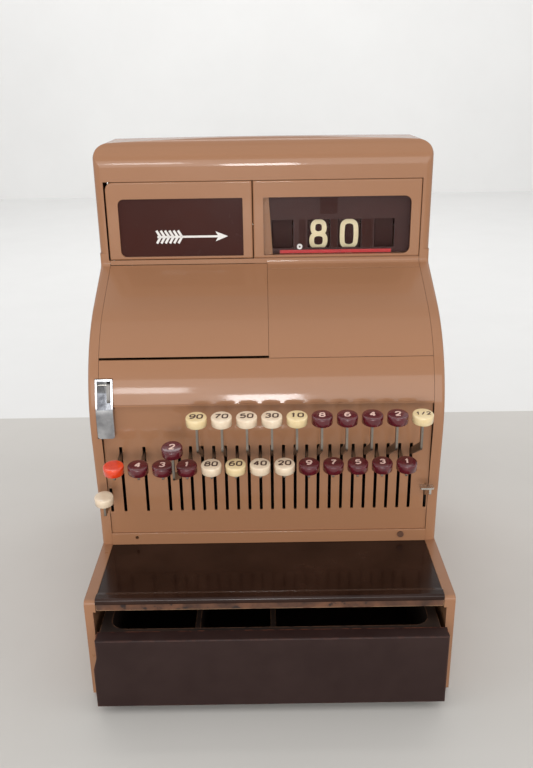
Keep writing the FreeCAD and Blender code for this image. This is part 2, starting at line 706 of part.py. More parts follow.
def make_side_cover(label, sign):
    cover = Piece(label)
    places = sorted((sign * CHEEK_INSIDE, sign * HALF_WIDTH), key=lambda place: place.value)
    cover.pad("YZ_Plane", [side_outline(NOTHING, CASING_TOP, size("hood_bottom"), BACK)], *places)
    cover.round_edges(lambda edge: is_front_edge(edge, sign), size("cover_edge_radius"))
    inner_wall = HALF_WIDTH - size("cover_side_sheet")
    places = sorted((sign * (CHEEK_INSIDE - OVERRUN), sign * inner_wall), key=lambda place: place.value)
    hollow = side_outline(SHEET, CASING_TOP - OVERRUN, size("hood_bottom") + OVERRUN, BACK + OVERRUN)
    cover.pocket("YZ_Plane", [hollow], *places)
    if sign < 0:
        window = rectangle(-HALF_WIDTH - OVERRUN, size("catch_bottom") - size("catch_gap"),
                           -CHEEK_INSIDE + OVERRUN, size("catch_top") + size("catch_gap"))
        window[0].across = window[3].across = CATCH_LEFT - size("catch_gap")
        cover.pocket("XZ_Plane", [window], depth("bulge_front") - OVERRUN, depth("catch_rear"))
        door_swing = rectangle(-CHEEK_INSIDE - size("door_hinge_gap"), size("display_bottom") - size("display_gap"),
                               -CHEEK_INSIDE + OVERRUN, size("hood_bottom") + OVERRUN)
        cover.pocket("XZ_Plane", [door_swing], depth("hood_front") - OVERRUN, depth("hood_front") + OVERRUN)
    return cover.body


def is_front_edge(edge, sign):
    """True for the outer edges of a side cover that run down its front."""
    box_of_edge = edge.BoundBox
    behind = depth("hood_front").value + 1e-3
    return lies_on(edge, "x", sign * HALF_WIDTH) and box_of_edge.YMax < behind and box_of_edge.ZLength > 1e-3


def skin_outline(low):
    """A sheet that follows the front and the slope, from a height up to the display front."""
    outer_front, inner_front = depth("bulge_front"), depth("bulge_front") + SHEET
    top = depth("hood_front")
    return [sharp(outer_front, low), brow_corner(NOTHING), sharp(top, slope_height(top)),
            sharp(top, slope_height(top, SHEET)), brow_corner(SHEET), sharp(inner_front, low)]


def make_skin(label, left, right, bottom, top_depth=None, top_height=None):
    """One panel of the sheet, cut at its lower edge and at its upper edge."""
    skin = Piece(label)
    skin.pad("YZ_Plane", [skin_outline(size("bulge_low"))], left, right)
    near, far = depth("bulge_front") - OVERRUN, depth("hood_front") + OVERRUN
    under = rectangle(near, size("bulge_low") - OVERRUN, far, bottom)
    skin.pocket("YZ_Plane", [under], left - OVERRUN, right + OVERRUN)
    if top_depth is not None:
        above = rectangle(top_depth, bottom, far, size("hood_bottom"))
        skin.pocket("YZ_Plane", [above], left - OVERRUN, right + OVERRUN)
    if top_height is not None:
        above = rectangle(near, top_height, far, size("hood_bottom"))
        skin.pocket("YZ_Plane", [above], left - OVERRUN, right + OVERRUN)
    return skin


PANEL_SIDE = CHEEK_INSIDE - GAP
LID_TOP = depth("hood_front") - size("lid_top_gap")
PIN_INSET = SHEET + size("pin_radius") + size("pin_clear")
LID_PIN_DEPTH = LID_TOP - (size("lid_pin_place") - SLOPE_SHARE * PIN_INSET) / SLOPE_STRETCH
LID_PIN_HEIGHT = slope_height(LID_PIN_DEPTH, PIN_INSET)


def make_printer_lid():
    left, right = -PANEL_SIDE, size("slope_split") - GAP / 2
    lid = make_skin("printer_lid", left, right, size("lid_bottom") + size("lid_bottom_gap"), LID_TOP)
    wall = size("pin_radius") + size("running_gap") + size("lid_lug_wall")
    inset = size("lid_lug_inset")
    for start in (left + inset, right - inset - size("lid_lug_width")):
        lug = [sharp(LID_PIN_DEPTH - wall, LID_PIN_HEIGHT - wall),
               sharp(LID_PIN_DEPTH + wall * SLOPE_SHARE, LID_PIN_HEIGHT - wall),
               sharp(LID_PIN_DEPTH + wall * SLOPE_SHARE,
                     slope_height(LID_PIN_DEPTH + wall * SLOPE_SHARE, SHEET / 2)),
               sharp(LID_PIN_DEPTH - wall, slope_height(LID_PIN_DEPTH - wall, SHEET / 2))]
        lid.pad("YZ_Plane", [lug], start, start + size("lid_lug_width"))
    bore = Circle(LID_PIN_DEPTH, LID_PIN_HEIGHT, size("pin_radius") + size("running_gap"))
    lid.pocket("YZ_Plane", [bore], left, right)
    return lid.body


def make_front_slope_panel():
    left, right = size("slope_split") + GAP / 2, PANEL_SIDE
    top = depth("hood_front") - size("sill_reach") - size("sill_gap")
    return make_skin("front_slope_panel", left, right, size("lid_bottom"), top).body


def make_front_cover():
    """The curved cover over the keys, with a flange back to the key plate and a gap for the catch."""
    top = size("lid_bottom") - size("display_gap")
    cover = make_skin("front_cover", -PANEL_SIDE, PANEL_SIDE, size("front_cover_bottom"), None, top)
    flange = rectangle(depth("bulge_front") + SHEET, size("front_cover_bottom"),
                       PLATE_FRONT, size("front_cover_bottom") + SHEET)
    cover.pad("YZ_Plane", [flange], -PANEL_SIDE, PANEL_SIDE)
    window = rectangle(-PANEL_SIDE - OVERRUN, size("front_cover_bottom") - OVERRUN,
                       CATCH_LEFT + size("catch_width") + size("catch_gap"),
                       size("catch_top") + size("catch_gap"))
    cover.pocket("XZ_Plane", [window], depth("bulge_front") - OVERRUN, depth("catch_rear"))
    return cover.body


# Keyboard front

SHORT_KEY_PLACE = HALF_WIDTH - size("short_key_inset")
RAIL_SCREW_PLACE = HALF_WIDTH - size("rail_screw_inset")


def key_place(count):
    """Middle of a key slot, by its count in the row."""
    return (count - size("key_middle")) * size("key_pitch")


def make_key_plate():
    plate = Piece("key_plate")
    front = PLATE_FRONT
    half = size("slot_width") / 2
    outline = rectangle(-PANEL_SIDE, size("key_plate_bottom"), PANEL_SIDE, size("key_plate_top"))
    slots = [rectangle(key_place(count) - half, size("slot_bottom"), key_place(count) + half,
                       size("slot_top"), half / 2) for _, count, _ in BANK_KEYS]
    for sign in (-1, 1):
        middle = sign * SHORT_KEY_PLACE
        slots.append(rectangle(middle - half, size("slot_bottom"), middle + half,
                               size("short_slot_top"), half / 2))
    plate.pad("XZ_Plane", [outline], front, front + SHEET)
    for slot in slots:
        plate.pocket("XZ_Plane", [slot], front - OVERRUN, front + OVERRUN)
    notch = rectangle(-PANEL_SIDE - OVERRUN, size("catch_split") - size("catch_wall") - size("catch_gap"),
                      CATCH_LEFT + size("catch_width") + size("catch_gap"),
                      size("key_plate_top") + OVERRUN)
    plate.pocket("XZ_Plane", [notch], front - OVERRUN, front + OVERRUN)
    return plate.body


def make_lower_rail():
    rail = Piece("lower_rail")
    back = depth("rail_front") + SHEET
    top = size("key_plate_bottom") - size("display_gap")
    outline = [sharp(depth("flange_front"), CASING_TOP), Rounded(depth("flange_front"), size("flange_top"), SHEET / 2),
               sharp(depth("rail_front"), size("flange_top")), sharp(depth("rail_front"), top),
               sharp(back, top), sharp(back, CASING_TOP)]
    rail.pad("YZ_Plane", [outline], -PANEL_SIDE, PANEL_SIDE)
    hole = size("screw_radius") + size("screw_gap")
    holes = [Circle(sign * RAIL_SCREW_PLACE, size("rail_screw_height"), hole) for sign in (-1, 1)]
    rail.pocket("XZ_Plane", holes, depth("flange_front") - OVERRUN, back + OVERRUN)
    return rail.body


def make_screw(label, across, up, seat, direction):
    """A screw whose head sits on a face and whose shank goes through it, along Y."""
    head = size("screw_head_height")
    screw = Piece(label)
    near, far = (seat - head, seat) if direction > 0 else (seat, seat + head)
    screw.pad("XZ_Plane", [Circle(across, up, size("screw_head_radius"))], near, far)
    near, far = (seat, seat + size("screw_length")) if direction > 0 else (seat - size("screw_length"), seat)
    screw.pad("XZ_Plane", [Circle(across, up, size("screw_radius"))], near, far)
    return screw.body


REAR_SIDE = HALF_WIDTH - size("cover_side_sheet") - GAP
REAR_FACE = BACK - size("rear_setback")


def rear_screw_places():
    inset = size("rear_screw_inset")
    low, high = CASING_TOP + GAP + inset, size("hood_bottom") - GAP - inset
    return [(sign * (REAR_SIDE - inset), up) for sign in (-1, 1) for up in (low, high)]


def make_rear_cover():
    cover = Piece("rear_cover")
    outline = rectangle(-REAR_SIDE, CASING_TOP + GAP, REAR_SIDE, size("hood_bottom") - GAP)
    cover.pad("XZ_Plane", [outline], REAR_FACE - SHEET, REAR_FACE)
    hole = size("screw_radius") + size("screw_gap")
    holes = [Circle(across, up, hole) for across, up in rear_screw_places()]
    cover.pocket("XZ_Plane", holes, REAR_FACE - SHEET - OVERRUN, REAR_FACE + OVERRUN)
    return cover.body


def make_cover_screws():
    screws = [make_screw("rail_screw", RAIL_SCREW_PLACE, size("rail_screw_height"),
                         depth("flange_front"), 1)]
    for number, (across, up) in enumerate(rear_screw_places()):
        screws.append(make_screw(f"rear_screw_{number}", across, up, REAR_FACE, -1))
    return group("cover_screws", *screws)


# Hood

def hood_block(label, inset):
    """The hood's outer form, or the same form inset on every side but the bottom."""
    block = Piece(label)
    side = HALF_WIDTH - inset
    near, far = depth("hood_front") + inset, BACK - inset
    bottom = size("hood_bottom") if inset is NOTHING else size("hood_bottom") - OVERRUN
    corner = size("hood_corner_radius") - inset
    outline = [sharp(-side, bottom), sharp(side, bottom),
               Rounded(side, size("hood_side_top") - inset, corner),
               Rounded(NOTHING, size("hood_side_top") + size("hood_peak") - inset, size("hood_crown_radius")),
               Rounded(-side, size("hood_side_top") - inset, corner)]
    block.pad("XZ_Plane", [outline], near, far)
    block.round_edges(lambda edge: (lies_on(edge, "y", near) or lies_on(edge, "y", far))
                      and edge.BoundBox.ZMax > bottom.value + 1e-3, size("hood_edge_radius") - inset)
    profile = Piece(f"{label}_profile")
    rear_top = size("hood_brow_top") - size("hood_fall")
    side_view = [sharp(near, bottom), Rounded(near, size("hood_brow_top") - inset, size("hood_brow_radius") - inset),
                 Rounded(far, rear_top - inset, size("hood_back_radius") - inset), sharp(far, bottom)]
    profile.pad("YZ_Plane", [side_view], -side, side)
    form = document.addObject("Part::Common", f"{label}_form")
    form.Base = block.body
    form.Tool = profile.body
    return form


def make_hood():
    opening = box("display_opening", -CHEEK_INSIDE - size("door_hinge_gap"), PANEL_SIDE + size("display_gap"),
                  depth("hood_front") - OVERRUN, depth("hood_front") + OVERRUN,
                  size("hood_bottom") - OVERRUN, size("display_top") + size("display_gap"))
    return shape_cut("hood", hood_block("hood_outside", NOTHING), hood_block("hood_inside", SHEET), opening)


# Display

DISPLAY_FRONT = depth("hood_front")
DISPLAY_WALL_BACK = DISPLAY_FRONT + size("display_wall")
DISPLAY_BACK = DISPLAY_FRONT + size("display_depth")
DOOR_RIGHT = size("display_split") - size("display_gap")
FRAME_LEFT = size("display_split") + size("display_gap")
DOOR_WINDOW = (size("door_window_margin") - PANEL_SIDE, DOOR_RIGHT - size("door_window_edge"))
FRAME_WINDOW = (FRAME_LEFT + size("frame_window_edge"), PANEL_SIDE - size("frame_window_margin"))
DOOR_PIN_ACROSS = -PANEL_SIDE + size("door_pin_place")
DOOR_PIN_DEPTH = DISPLAY_WALL_BACK + size("pin_radius") + size("pin_clear")


def display_pan(label, left, right, corner_radii, window):
    """A shallow pan, open at the back, with a window in its face."""
    pan = Piece(label)
    wall = size("display_wall")
    bottom, top = size("display_bottom"), size("display_top")
    outline = rectangle(left, bottom, right, top, size("small_corner_radius"))
    outline[3].radius = corner_radii
    pan.pad("XZ_Plane", [outline], DISPLAY_FRONT, DISPLAY_BACK)
    pan.round_edges(lambda edge: lies_on(edge, "y", DISPLAY_FRONT), size("display_edge_radius"))
    inner = rectangle(left + wall, bottom + wall, right - wall, top - wall)
    pan.pocket("XZ_Plane", [inner], DISPLAY_WALL_BACK, DISPLAY_BACK + OVERRUN)
    pan.pocket("XZ_Plane", [window], DISPLAY_FRONT - OVERRUN, DISPLAY_WALL_BACK + OVERRUN)
    return pan


def make_display_door():
    left, right = -PANEL_SIDE, DOOR_RIGHT
    window = rectangle(DOOR_WINDOW[0], size("window_bottom"), DOOR_WINDOW[1],
                       size("window_top"), size("small_corner_radius"))
    window[0].radius = window[3].radius = size("door_window_radius")
    door = display_pan("display_door", left, right, size("door_corner_radius"), window)
    bore = Circle(DOOR_PIN_ACROSS, DOOR_PIN_DEPTH, size("pin_radius") + size("running_gap"))
    door.pocket("XY_Plane", [bore], size("display_bottom") - OVERRUN, size("display_top") + OVERRUN)
    return door.body


def make_arrow_panel():
    margin = size("panel_margin")
    bottom = size("display_bottom") + size("display_wall")
    panel = Piece("arrow_panel")
    outline = rectangle(DOOR_WINDOW[0] - margin, bottom, DOOR_WINDOW[1] + margin, size("window_top") + margin)
    panel.pad("XZ_Plane", [outline], DISPLAY_WALL_BACK, DISPLAY_WALL_BACK + size("panel_sheet"))
    return panel.body


def make_indicator_frame():
    """The pan round the number window, its side plate behind the glass, and the sill under both windows."""
    left, right = FRAME_LEFT, PANEL_SIDE
    window = rectangle(FRAME_WINDOW[0], size("window_bottom"), FRAME_WINDOW[1],
                       size("window_top"), size("frame_window_radius"))
    window[0].radius = window[3].radius = size("small_corner_radius")
    frame = display_pan("indicator_frame", left, right, size("small_corner_radius"), window)
    inside = left + size("display_wall")
    low, high = size("display_bottom") + size("display_wall") / 2, size("window_top") + size("panel_margin")
    tongue_foot = FRAME_WINDOW[0] + size("tongue_foot")
    tongue = [sharp(left + size("display_wall") / 2, low), sharp(tongue_foot, low),
              sharp(FRAME_WINDOW[0] + size("tongue_head"), high), sharp(left + size("display_wall") / 2, high)]
    tongue_front = DISPLAY_WALL_BACK + size("glass_sheet") + GAP
    frame.pad("XZ_Plane", [tongue], tongue_front, DISPLAY_BACK)
    notch = rectangle(inside, size("window_bottom"), tongue_foot + OVERRUN, high + OVERRUN)
    frame.pocket("XZ_Plane", [notch], tongue_front + SHEET, DISPLAY_BACK + OVERRUN)
    bar_top = size("display_bottom") + size("display_wall") / 2
    bar = rectangle(left, slope_height(DISPLAY_FRONT + SHEET, SHEET), right, bar_top)
    frame.pad("XZ_Plane", [bar], DISPLAY_FRONT + size("display_edge_radius"), DISPLAY_WALL_BACK)
    sill_foot = DISPLAY_FRONT - size("sill_reach")
    sill = [sharp(sill_foot, slope_height(sill_foot)),
            Rounded(DISPLAY_FRONT, slope_height(DISPLAY_FRONT), size("slope_corner_radius")),
            sharp(DISPLAY_FRONT, size("display_bottom") - size("display_gap")),
            sharp(DISPLAY_WALL_BACK, size("display_bottom") - size("display_gap")),
            sharp(DISPLAY_WALL_BACK, slope_height(DISPLAY_WALL_BACK, SHEET)),
            sharp(sill_foot, slope_height(sill_foot, SHEET))]
    frame.pad("YZ_Plane", [sill], size("slope_split") + GAP / 2, right)
    under_door = rectangle(-PANEL_SIDE, size("slope_top"), size("slope_split") + GAP,
                           size("display_bottom") - size("display_gap"))
    frame.pad("XZ_Plane", [under_door], DISPLAY_FRONT, DISPLAY_WALL_BACK)
    return frame.body


def make_indicator_glass():
    margin = size("panel_margin")
    bottom = size("display_bottom") + size("display_wall")
    glass = Piece("indicator_glass")
    outline = rectangle(FRAME_WINDOW[0] - margin, bottom, FRAME_WINDOW[1] + margin, size("window_top") + margin)
    glass.pad("XZ_Plane", [outline], DISPLAY_WALL_BACK, DISPLAY_WALL_BACK + size("glass_sheet"))
    return glass.body


WHEELS = ("pounds", "tens", "units", "half")
MASK_FRONT = DISPLAY_FRONT + size("mask_place") + SHEET
WHEEL_DEPTH = MASK_FRONT + size("mask_sheet") + size("wheel_gap") + size("wheel_radius")


def make_indicator_mask():
    wall = size("display_wall")
    left = FRAME_LEFT + wall + GAP
    mask = Piece("indicator_mask")
    outline = rectangle(left, size("display_bottom") + wall + GAP, PANEL_SIDE - wall - GAP,
                        size("display_top") - wall - GAP)
    mask.pad("XZ_Plane", [outline], MASK_FRONT, MASK_FRONT + size("mask_sheet"))
    openings = []
    for name in WHEELS:
        middle, half = size(f"{name}_window"), size(f"{name}_window_width") / 2
        openings.append(rectangle(middle - half, size("mask_low"), middle + half, size("mask_high")))
    mask.pocket("XZ_Plane", openings, MASK_FRONT - OVERRUN, MASK_FRONT + OVERRUN)
    return mask.body


def make_wheel(name):
    """A number wheel: rim, web and hub, turned about the indicator shaft."""
    wheel = Piece(f"wheel_{name}")
    half = size(f"{name}_window_width") / 2 - size("wheel_side_gap")
    web = size("wheel_web") / 2
    bore = size("shaft_radius") + size("running_gap")
    hub, rim = size("wheel_hub_radius"), size("wheel_radius") - size("wheel_rim")
    right_half = [(half, bore), (half, hub), (web, hub), (web, rim), (half, rim), (half, size("wheel_radius"))]
    outline = [sharp(across, up) for across, up in right_half]
    outline += [sharp(-across, up) for across, up in reversed(right_half)]
    wheel.revolve("XZ_Plane", [outline], "H_Axis")
    wheel.place(size(f"{name}_window"), WHEEL_DEPTH, size("indicator_height"))
    return wheel.body


# Mechanism

UPRIGHT_OUT = HALF_WIDTH - size("upright_inset")
UPRIGHT_IN = UPRIGHT_OUT - size("upright_sheet")
CHASSIS_REAR = depth("key_shaft_depth") + size("chassis_rear_margin")


def make_mechanism_chassis():
    chassis = Piece("mechanism_chassis")
    top = CASING_TOP + size("chassis_sheet")
    base = rectangle(-UPRIGHT_OUT, depth("chassis_front"), UPRIGHT_OUT, CHASSIS_REAR)
    chassis.pad("XY_Plane", [base], CASING_TOP, top)
    margin = size("chassis_head_margin")
    head_top = size("indicator_height") + margin
    profile = [sharp(depth("chassis_front"), CASING_TOP), sharp(depth("chassis_front"), size("chassis_knee")),
               sharp(depth("chassis_neck_depth"), size("chassis_neck")),
               sharp(depth("chassis_shoulder_depth"), size("chassis_shoulder")),
               sharp(WHEEL_DEPTH - margin, size("indicator_height")),
               Rounded(WHEEL_DEPTH - margin, head_top, margin / 2),
               Rounded(WHEEL_DEPTH + margin, head_top, margin / 2),
               sharp(CHASSIS_REAR, size("chassis_knee")), sharp(CHASSIS_REAR, CASING_TOP)]
    for places in ((-UPRIGHT_OUT, -UPRIGHT_IN), (UPRIGHT_IN, UPRIGHT_OUT)):
        chassis.pad("YZ_Plane", [profile], *places)
    hole = size("shaft_radius") + size("running_gap")
    holes = [Circle(depth("key_shaft_depth"), size("key_shaft_height"), hole),
             Circle(WHEEL_DEPTH, size("indicator_height"), hole)]
    chassis.pocket("YZ_Plane", holes, -UPRIGHT_OUT - OVERRUN, UPRIGHT_OUT + OVERRUN)
    stud = Circle(depth("roll_depth"), size("roll_height"), size("roll_stud_radius") + size("running_gap"))
    chassis.pocket("YZ_Plane", [stud], -UPRIGHT_OUT - OVERRUN, -UPRIGHT_IN + OVERRUN)
    return chassis.body


def make_shaft(label, inward, up):
    end = UPRIGHT_OUT - size("shaft_end_gap")
    shaft = rod(label, "x", size("shaft_radius"), -end, end, inward, up)
    shaft.Label = label
    return shaft


ROLL_LEFT = -UPRIGHT_IN + size("roll_side_gap")


def make_ticket_roll():
    roll = Piece("ticket_roll")
    rings = [Circle(depth("roll_depth"), size("roll_height"), size("roll_radius")),
             Circle(depth("roll_depth"), size("roll_height"), size("roll_stud_radius") + size("running_gap"))]
    roll.pad("YZ_Plane", rings, ROLL_LEFT, ROLL_LEFT + size("roll_width"))
    return roll.body


def make_hinge_pins():
    """The plain pins of the lid, the door and the catch lever, and the stud that carries the roll."""
    radius = size("pin_radius")
    catch_inside = CATCH_LEFT + size("catch_width")
    lid = rod("lid_pin", "x", radius, -PANEL_SIDE, size("slope_split") - GAP, LID_PIN_DEPTH, LID_PIN_HEIGHT)
    door = rod("door_pin", "z", radius, size("slope_top"), size("display_top") + OVERRUN / 2,
               DOOR_PIN_ACROSS, DOOR_PIN_DEPTH)
    catch = rod("catch_pin", "x", radius, CATCH_LEFT, catch_inside, depth("catch_pin_depth"),
                size("catch_pin_height"))
    stud = rod("roll_stud", "x", size("roll_stud_radius"), -UPRIGHT_OUT + size("shaft_end_gap"),
               ROLL_LEFT + size("roll_width") + size("roll_stud_reach"), depth("roll_depth"),
               size("roll_height"))
    return group("hinge_pins", lid, door, catch, stud)


# Keys

class CapSeat:
    """Where a key's cap sits: the middle of its top, and points on the plane of its underside."""

    def __init__(self, inward, up):
        self.inward = inward
        self.up = up
        lean = size("cap_lean")
        self.foot_inward = inward + size("cap_height") * lean.sine()
        self.foot_up = up - size("cap_height") * lean.cosine()

    def underside(self, along):
        """A corner on the cap's underside, a distance back from its middle."""
        lean = size("cap_lean")
        return sharp(self.foot_inward + along * lean.cosine(), self.foot_up + along * lean.sine())


def make_cap(label, across, seat, radius):
    """A round cap whose top leans towards the user."""
    cap = Piece(label)
    edge = size("cap_edge_radius")
    outline = [sharp(NOTHING, NOTHING), Rounded(radius, NOTHING, edge / 2),
               Rounded(radius, size("cap_height"), edge), sharp(NOTHING, size("cap_height"))]
    cap.revolve("XZ_Plane", [outline], "V_Axis")
    cap.body.Placement = FreeCAD.Placement(FreeCAD.Vector(), FreeCAD.Rotation(FreeCAD.Vector(1, 0, 0), 1))
    cap.body.setExpression("Placement.Rotation.Angle", size("cap_lean").text)
    cap.place(across, seat.foot_inward, seat.foot_up)
    return cap.body


def lever_outline(front, line):
    """A lever's outline: its hub on the key shaft, its arm to the key plate, and a given front end."""
    hub = size("lever_hub_radius")
    root = size("lever_root_height") / 2
    inward, up = depth("key_shaft_depth"), size("key_shaft_height")
    bend = size("lever_bend_radius")
    plate = PLATE_FRONT
    rear = [Rounded(inward + hub, up + root, hub - GAP), Rounded(inward + hub, up - root, hub - GAP),
            Rounded(inward - hub * 2, up - root, bend), sharp(plate, line - size("lever_front_height"))]
    return rear + front + [sharp(plate, line), Rounded(inward - hub * 2, up + root, bend)]


def make_lever(label, across, outline):
    lever = Piece(label)
    half = size("lever_sheet") / 2
    bore = Circle(depth("key_shaft_depth"), size("key_shaft_height"),
                  size("shaft_radius") + size("running_gap"))
    lever.pad("YZ_Plane", [outline, bore], across - half, across + half)
    return lever


def make_bank_key(label, count, high):
    line = size("slot_top") - size("lever_top_gap")
    arm_foot = line - size("lever_front_height")
    bend = size("lever_bend_radius")
    half = size("neck_half")
    if high:
        seat = CapSeat(depth("upper_cap_depth"), size("upper_cap_height"))
        front_corner, back_corner = seat.underside(-half), seat.underside(half)
        neck_foot = line + size("neck_foot")
        front = [Rounded(front_corner.across, neck_foot, bend * 2), front_corner, back_corner,
                 Rounded(back_corner.across, neck_foot + half * 2, bend)]
    else:
        seat = CapSeat(depth("lower_cap_depth"), size("lower_cap_height"))
        front_corner, back_corner = seat.underside(-half), seat.underside(half)
        front = [Rounded(front_corner.across, arm_foot - size("lever_tip_drop"), bend / 2),
                 front_corner, back_corner]
    across = key_place(count)
    lever = make_lever(f"{label}_lever", across, lever_outline(front, line))
    key = group(label, lever.body, make_cap(f"{label}_cap", across, seat, size("cap_radius")))
    if label == PRESSED_KEY:
        centre = FreeCAD.Vector(0, depth("key_shaft_depth").value, size("key_shaft_height").value)
        turn = FreeCAD.Rotation(FreeCAD.Vector(1, 0, 0), size("pressed_angle").value)
        key.Placement = FreeCAD.Placement(FreeCAD.Vector(), turn, centre)
    return key


def make_left_short_key():
    line = size("short_slot_top") - size("lever_top_gap")
    half = size("neck_half")
    across = -SHORT_KEY_PLACE
    seat = CapSeat(depth("short_cap_depth"), size("short_cap_height"))
    front_corner, back_corner = seat.underside(-half), seat.underside(half)
    foot = line - size("lever_front_height")
    front = [Rounded(front_corner.across, foot, size("lever_bend_radius") / 2), front_corner, back_corner]
    lever = make_lever("left_short_lever", across, lever_outline(front, line))
    cap = make_cap("left_short_cap", across, seat, size("short_cap_radius"))
    return group("left_short_key", lever.body, cap)


def make_right_short_key():
    """The short key whose cap is missing: its lever ends in a bare cross tab."""
    line = size("short_slot_top") - size("lever_top_gap")
    across = SHORT_KEY_PLACE
    tip = depth("tab_front")
    top = line + size("tab_rise")
    front = [Rounded(tip, top - size("lever_front_height"), size("lever_bend_radius") / 2),
             sharp(tip, top), sharp(tip + size("tab_depth"), top)]
    key = make_lever("right_short_key", across, lever_outline(front, line))
    middle, half = across - size("tab_shift"), size("tab_width") / 2
    tab = rectangle(middle - half, tip, middle + half, tip + size("tab_depth"), size("lever_bend_radius") / 2)
    key.pad("XY_Plane", [tab], top - SHEET, top)
    return key.body


# Catch

def make_catch_plate():
    """A chrome plate with a lined recess in its upper half."""
    plate = Piece("catch_plate")
    left, right = CATCH_LEFT, CATCH_LEFT + size("catch_width")
    front = depth("bulge_front") - size("catch_proud")
    floor = size("catch_split") - size("catch_wall")
    profile = [sharp(front, size("catch_bottom")), Rounded(front, size("catch_split"), size("bend_radius") / 2),
               sharp(depth("catch_top_front"), size("catch_top")), sharp(depth("catch_rear"), size("catch_top")),
               sharp(depth("catch_rear"), floor), sharp(PLATE_FRONT, floor),
               sharp(PLATE_FRONT, size("catch_bottom"))]
    plate.pad("YZ_Plane", [profile], left, right)
    wall = size("catch_wall")
    recess = rectangle(left + wall, size("catch_split"), right - wall, size("catch_top") - wall)
    plate.pocket("XZ_Plane", [recess], front - OVERRUN, depth("catch_rear") - wall)
    bore = Circle(depth("catch_pin_depth"), size("catch_pin_height"), size("pin_radius") + size("running_gap"))
    plate.pocket("YZ_Plane", [bore], left - OVERRUN, right + OVERRUN)
    plate.round_edges(is_lower_catch_corner, size("catch_corner_radius"))
    return plate.body


def is_lower_catch_corner(edge):
    """True for the catch plate's two lower corners, seen from the front."""
    return lies_on(edge, "z", size("catch_bottom")) and edge.BoundBox.YLength > 1


def make_catch_lever():
    """A small hook on its pin in the recess."""
    lever = Piece("catch_lever")
    hub = size("catch_hub_radius")
    inward, up = depth("catch_pin_depth"), size("catch_pin_height")
    tip_in, tip_up = depth("catch_tip_depth"), size("catch_tip_height")
    outline = [Rounded(inward + hub, up + hub, hub - GAP), Rounded(inward + hub, up - hub, hub - GAP),
               Rounded(inward - hub, up - hub * 2, hub / 2), Rounded(tip_in + hub, tip_up, hub / 2),
               Rounded(tip_in, tip_up, hub / 4), Rounded(tip_in, tip_up + hub, hub / 2),
               Rounded(inward - hub, up + hub, hub - GAP)]
    bore = Circle(inward, up, size("pin_radius") + size("running_gap"))
    middle = CATCH_LEFT + size("catch_width") - size("catch_lever_place")
    half = size("catch_lever_width") / 2
    lever.pad("YZ_Plane", [outline, bore], middle - half, middle + half)
    return lever.body


def make_register():
    """Every node of the register, each a document object under its own label."""
    nodes = [make_cabinet_casing(), make_cabinet_floor(), make_rubber_feet(), make_deck_board(),
             make_deck_strip(), make_drawer_front(), make_drawer_tray(), make_drawer_dividers(),
             make_side_cover("left_side_cover", -1), make_side_cover("right_side_cover", 1),
             make_printer_lid(), make_front_slope_panel(), make_front_cover(), make_key_plate(),
             make_lower_rail(), make_rear_cover(), make_cover_screws(), make_hood(),
             make_display_door(), make_arrow_panel(), make_indicator_frame(), make_indicator_glass(),
             make_indicator_mask(), make_mechanism_chassis(),
             make_shaft("key_shaft", depth("key_shaft_depth"), size("key_shaft_height")),
             make_shaft("indicator_shaft", WHEEL_DEPTH, size("indicator_height")),
             make_ticket_roll(), make_hinge_pins(), make_catch_plate(), make_catch_lever(),
             make_left_short_key(), make_right_short_key()]
    nodes += [make_wheel(name) for name in WHEELS]
    nodes += [make_bank_key(label, count, high) for label, count, high in BANK_KEYS]
    return nodes


def check_document():
    """Stops when an object of the document has failed."""
    for item in document.Objects:
        if any(state in ("Invalid", "Error") for state in item.State):
            raise RuntimeError(f"{item.Label} could not be worked out: {item.State}")


def write_nodes(nodes):
    """Writes each node's shape under its label."""
    os.makedirs("parts", exist_ok=True)
    for node in nodes:
        if node.Shape.isNull() or not node.Shape.isValid():
            raise RuntimeError(f"{node.Label} has no valid shape")
    for node in nodes:
        node.Shape.exportStep(f"parts/{node.Label}.step")
        print(node.Label, len(node.Shape.Solids), round(node.Shape.Volume))


register_nodes = make_register()
document.recompute()
check_document()
write_nodes(register_nodes)
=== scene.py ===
"""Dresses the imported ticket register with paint, key caps, numerals and display, and sets up its studio."""

import logging
import math
from dataclasses import dataclass, field
from enum import Enum
from typing import Callable, ClassVar, Dict, Iterable, List, Optional, Sequence, Tuple

import bmesh
import bpy
from mathutils import Matrix, Vector


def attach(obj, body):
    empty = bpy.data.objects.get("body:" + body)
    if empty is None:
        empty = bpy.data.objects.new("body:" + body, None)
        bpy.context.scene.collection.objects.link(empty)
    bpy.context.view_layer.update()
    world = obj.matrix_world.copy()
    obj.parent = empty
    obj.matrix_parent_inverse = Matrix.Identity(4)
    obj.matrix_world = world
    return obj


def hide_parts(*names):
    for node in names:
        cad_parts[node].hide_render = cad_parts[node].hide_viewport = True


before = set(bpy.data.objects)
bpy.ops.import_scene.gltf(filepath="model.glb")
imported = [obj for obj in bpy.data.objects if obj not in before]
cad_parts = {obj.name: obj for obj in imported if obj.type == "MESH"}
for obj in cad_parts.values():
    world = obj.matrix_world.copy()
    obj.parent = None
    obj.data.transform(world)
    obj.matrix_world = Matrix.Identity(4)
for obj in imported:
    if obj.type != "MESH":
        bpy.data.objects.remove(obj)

log = logging.getLogger("ticket_register")

HAIR = 0.0001

Colour = Tuple[float, float, float]
Point = Tuple[float, float, float]
Flat = Tuple[float, float]
Lift = Callable[[float, float, float], Vector]

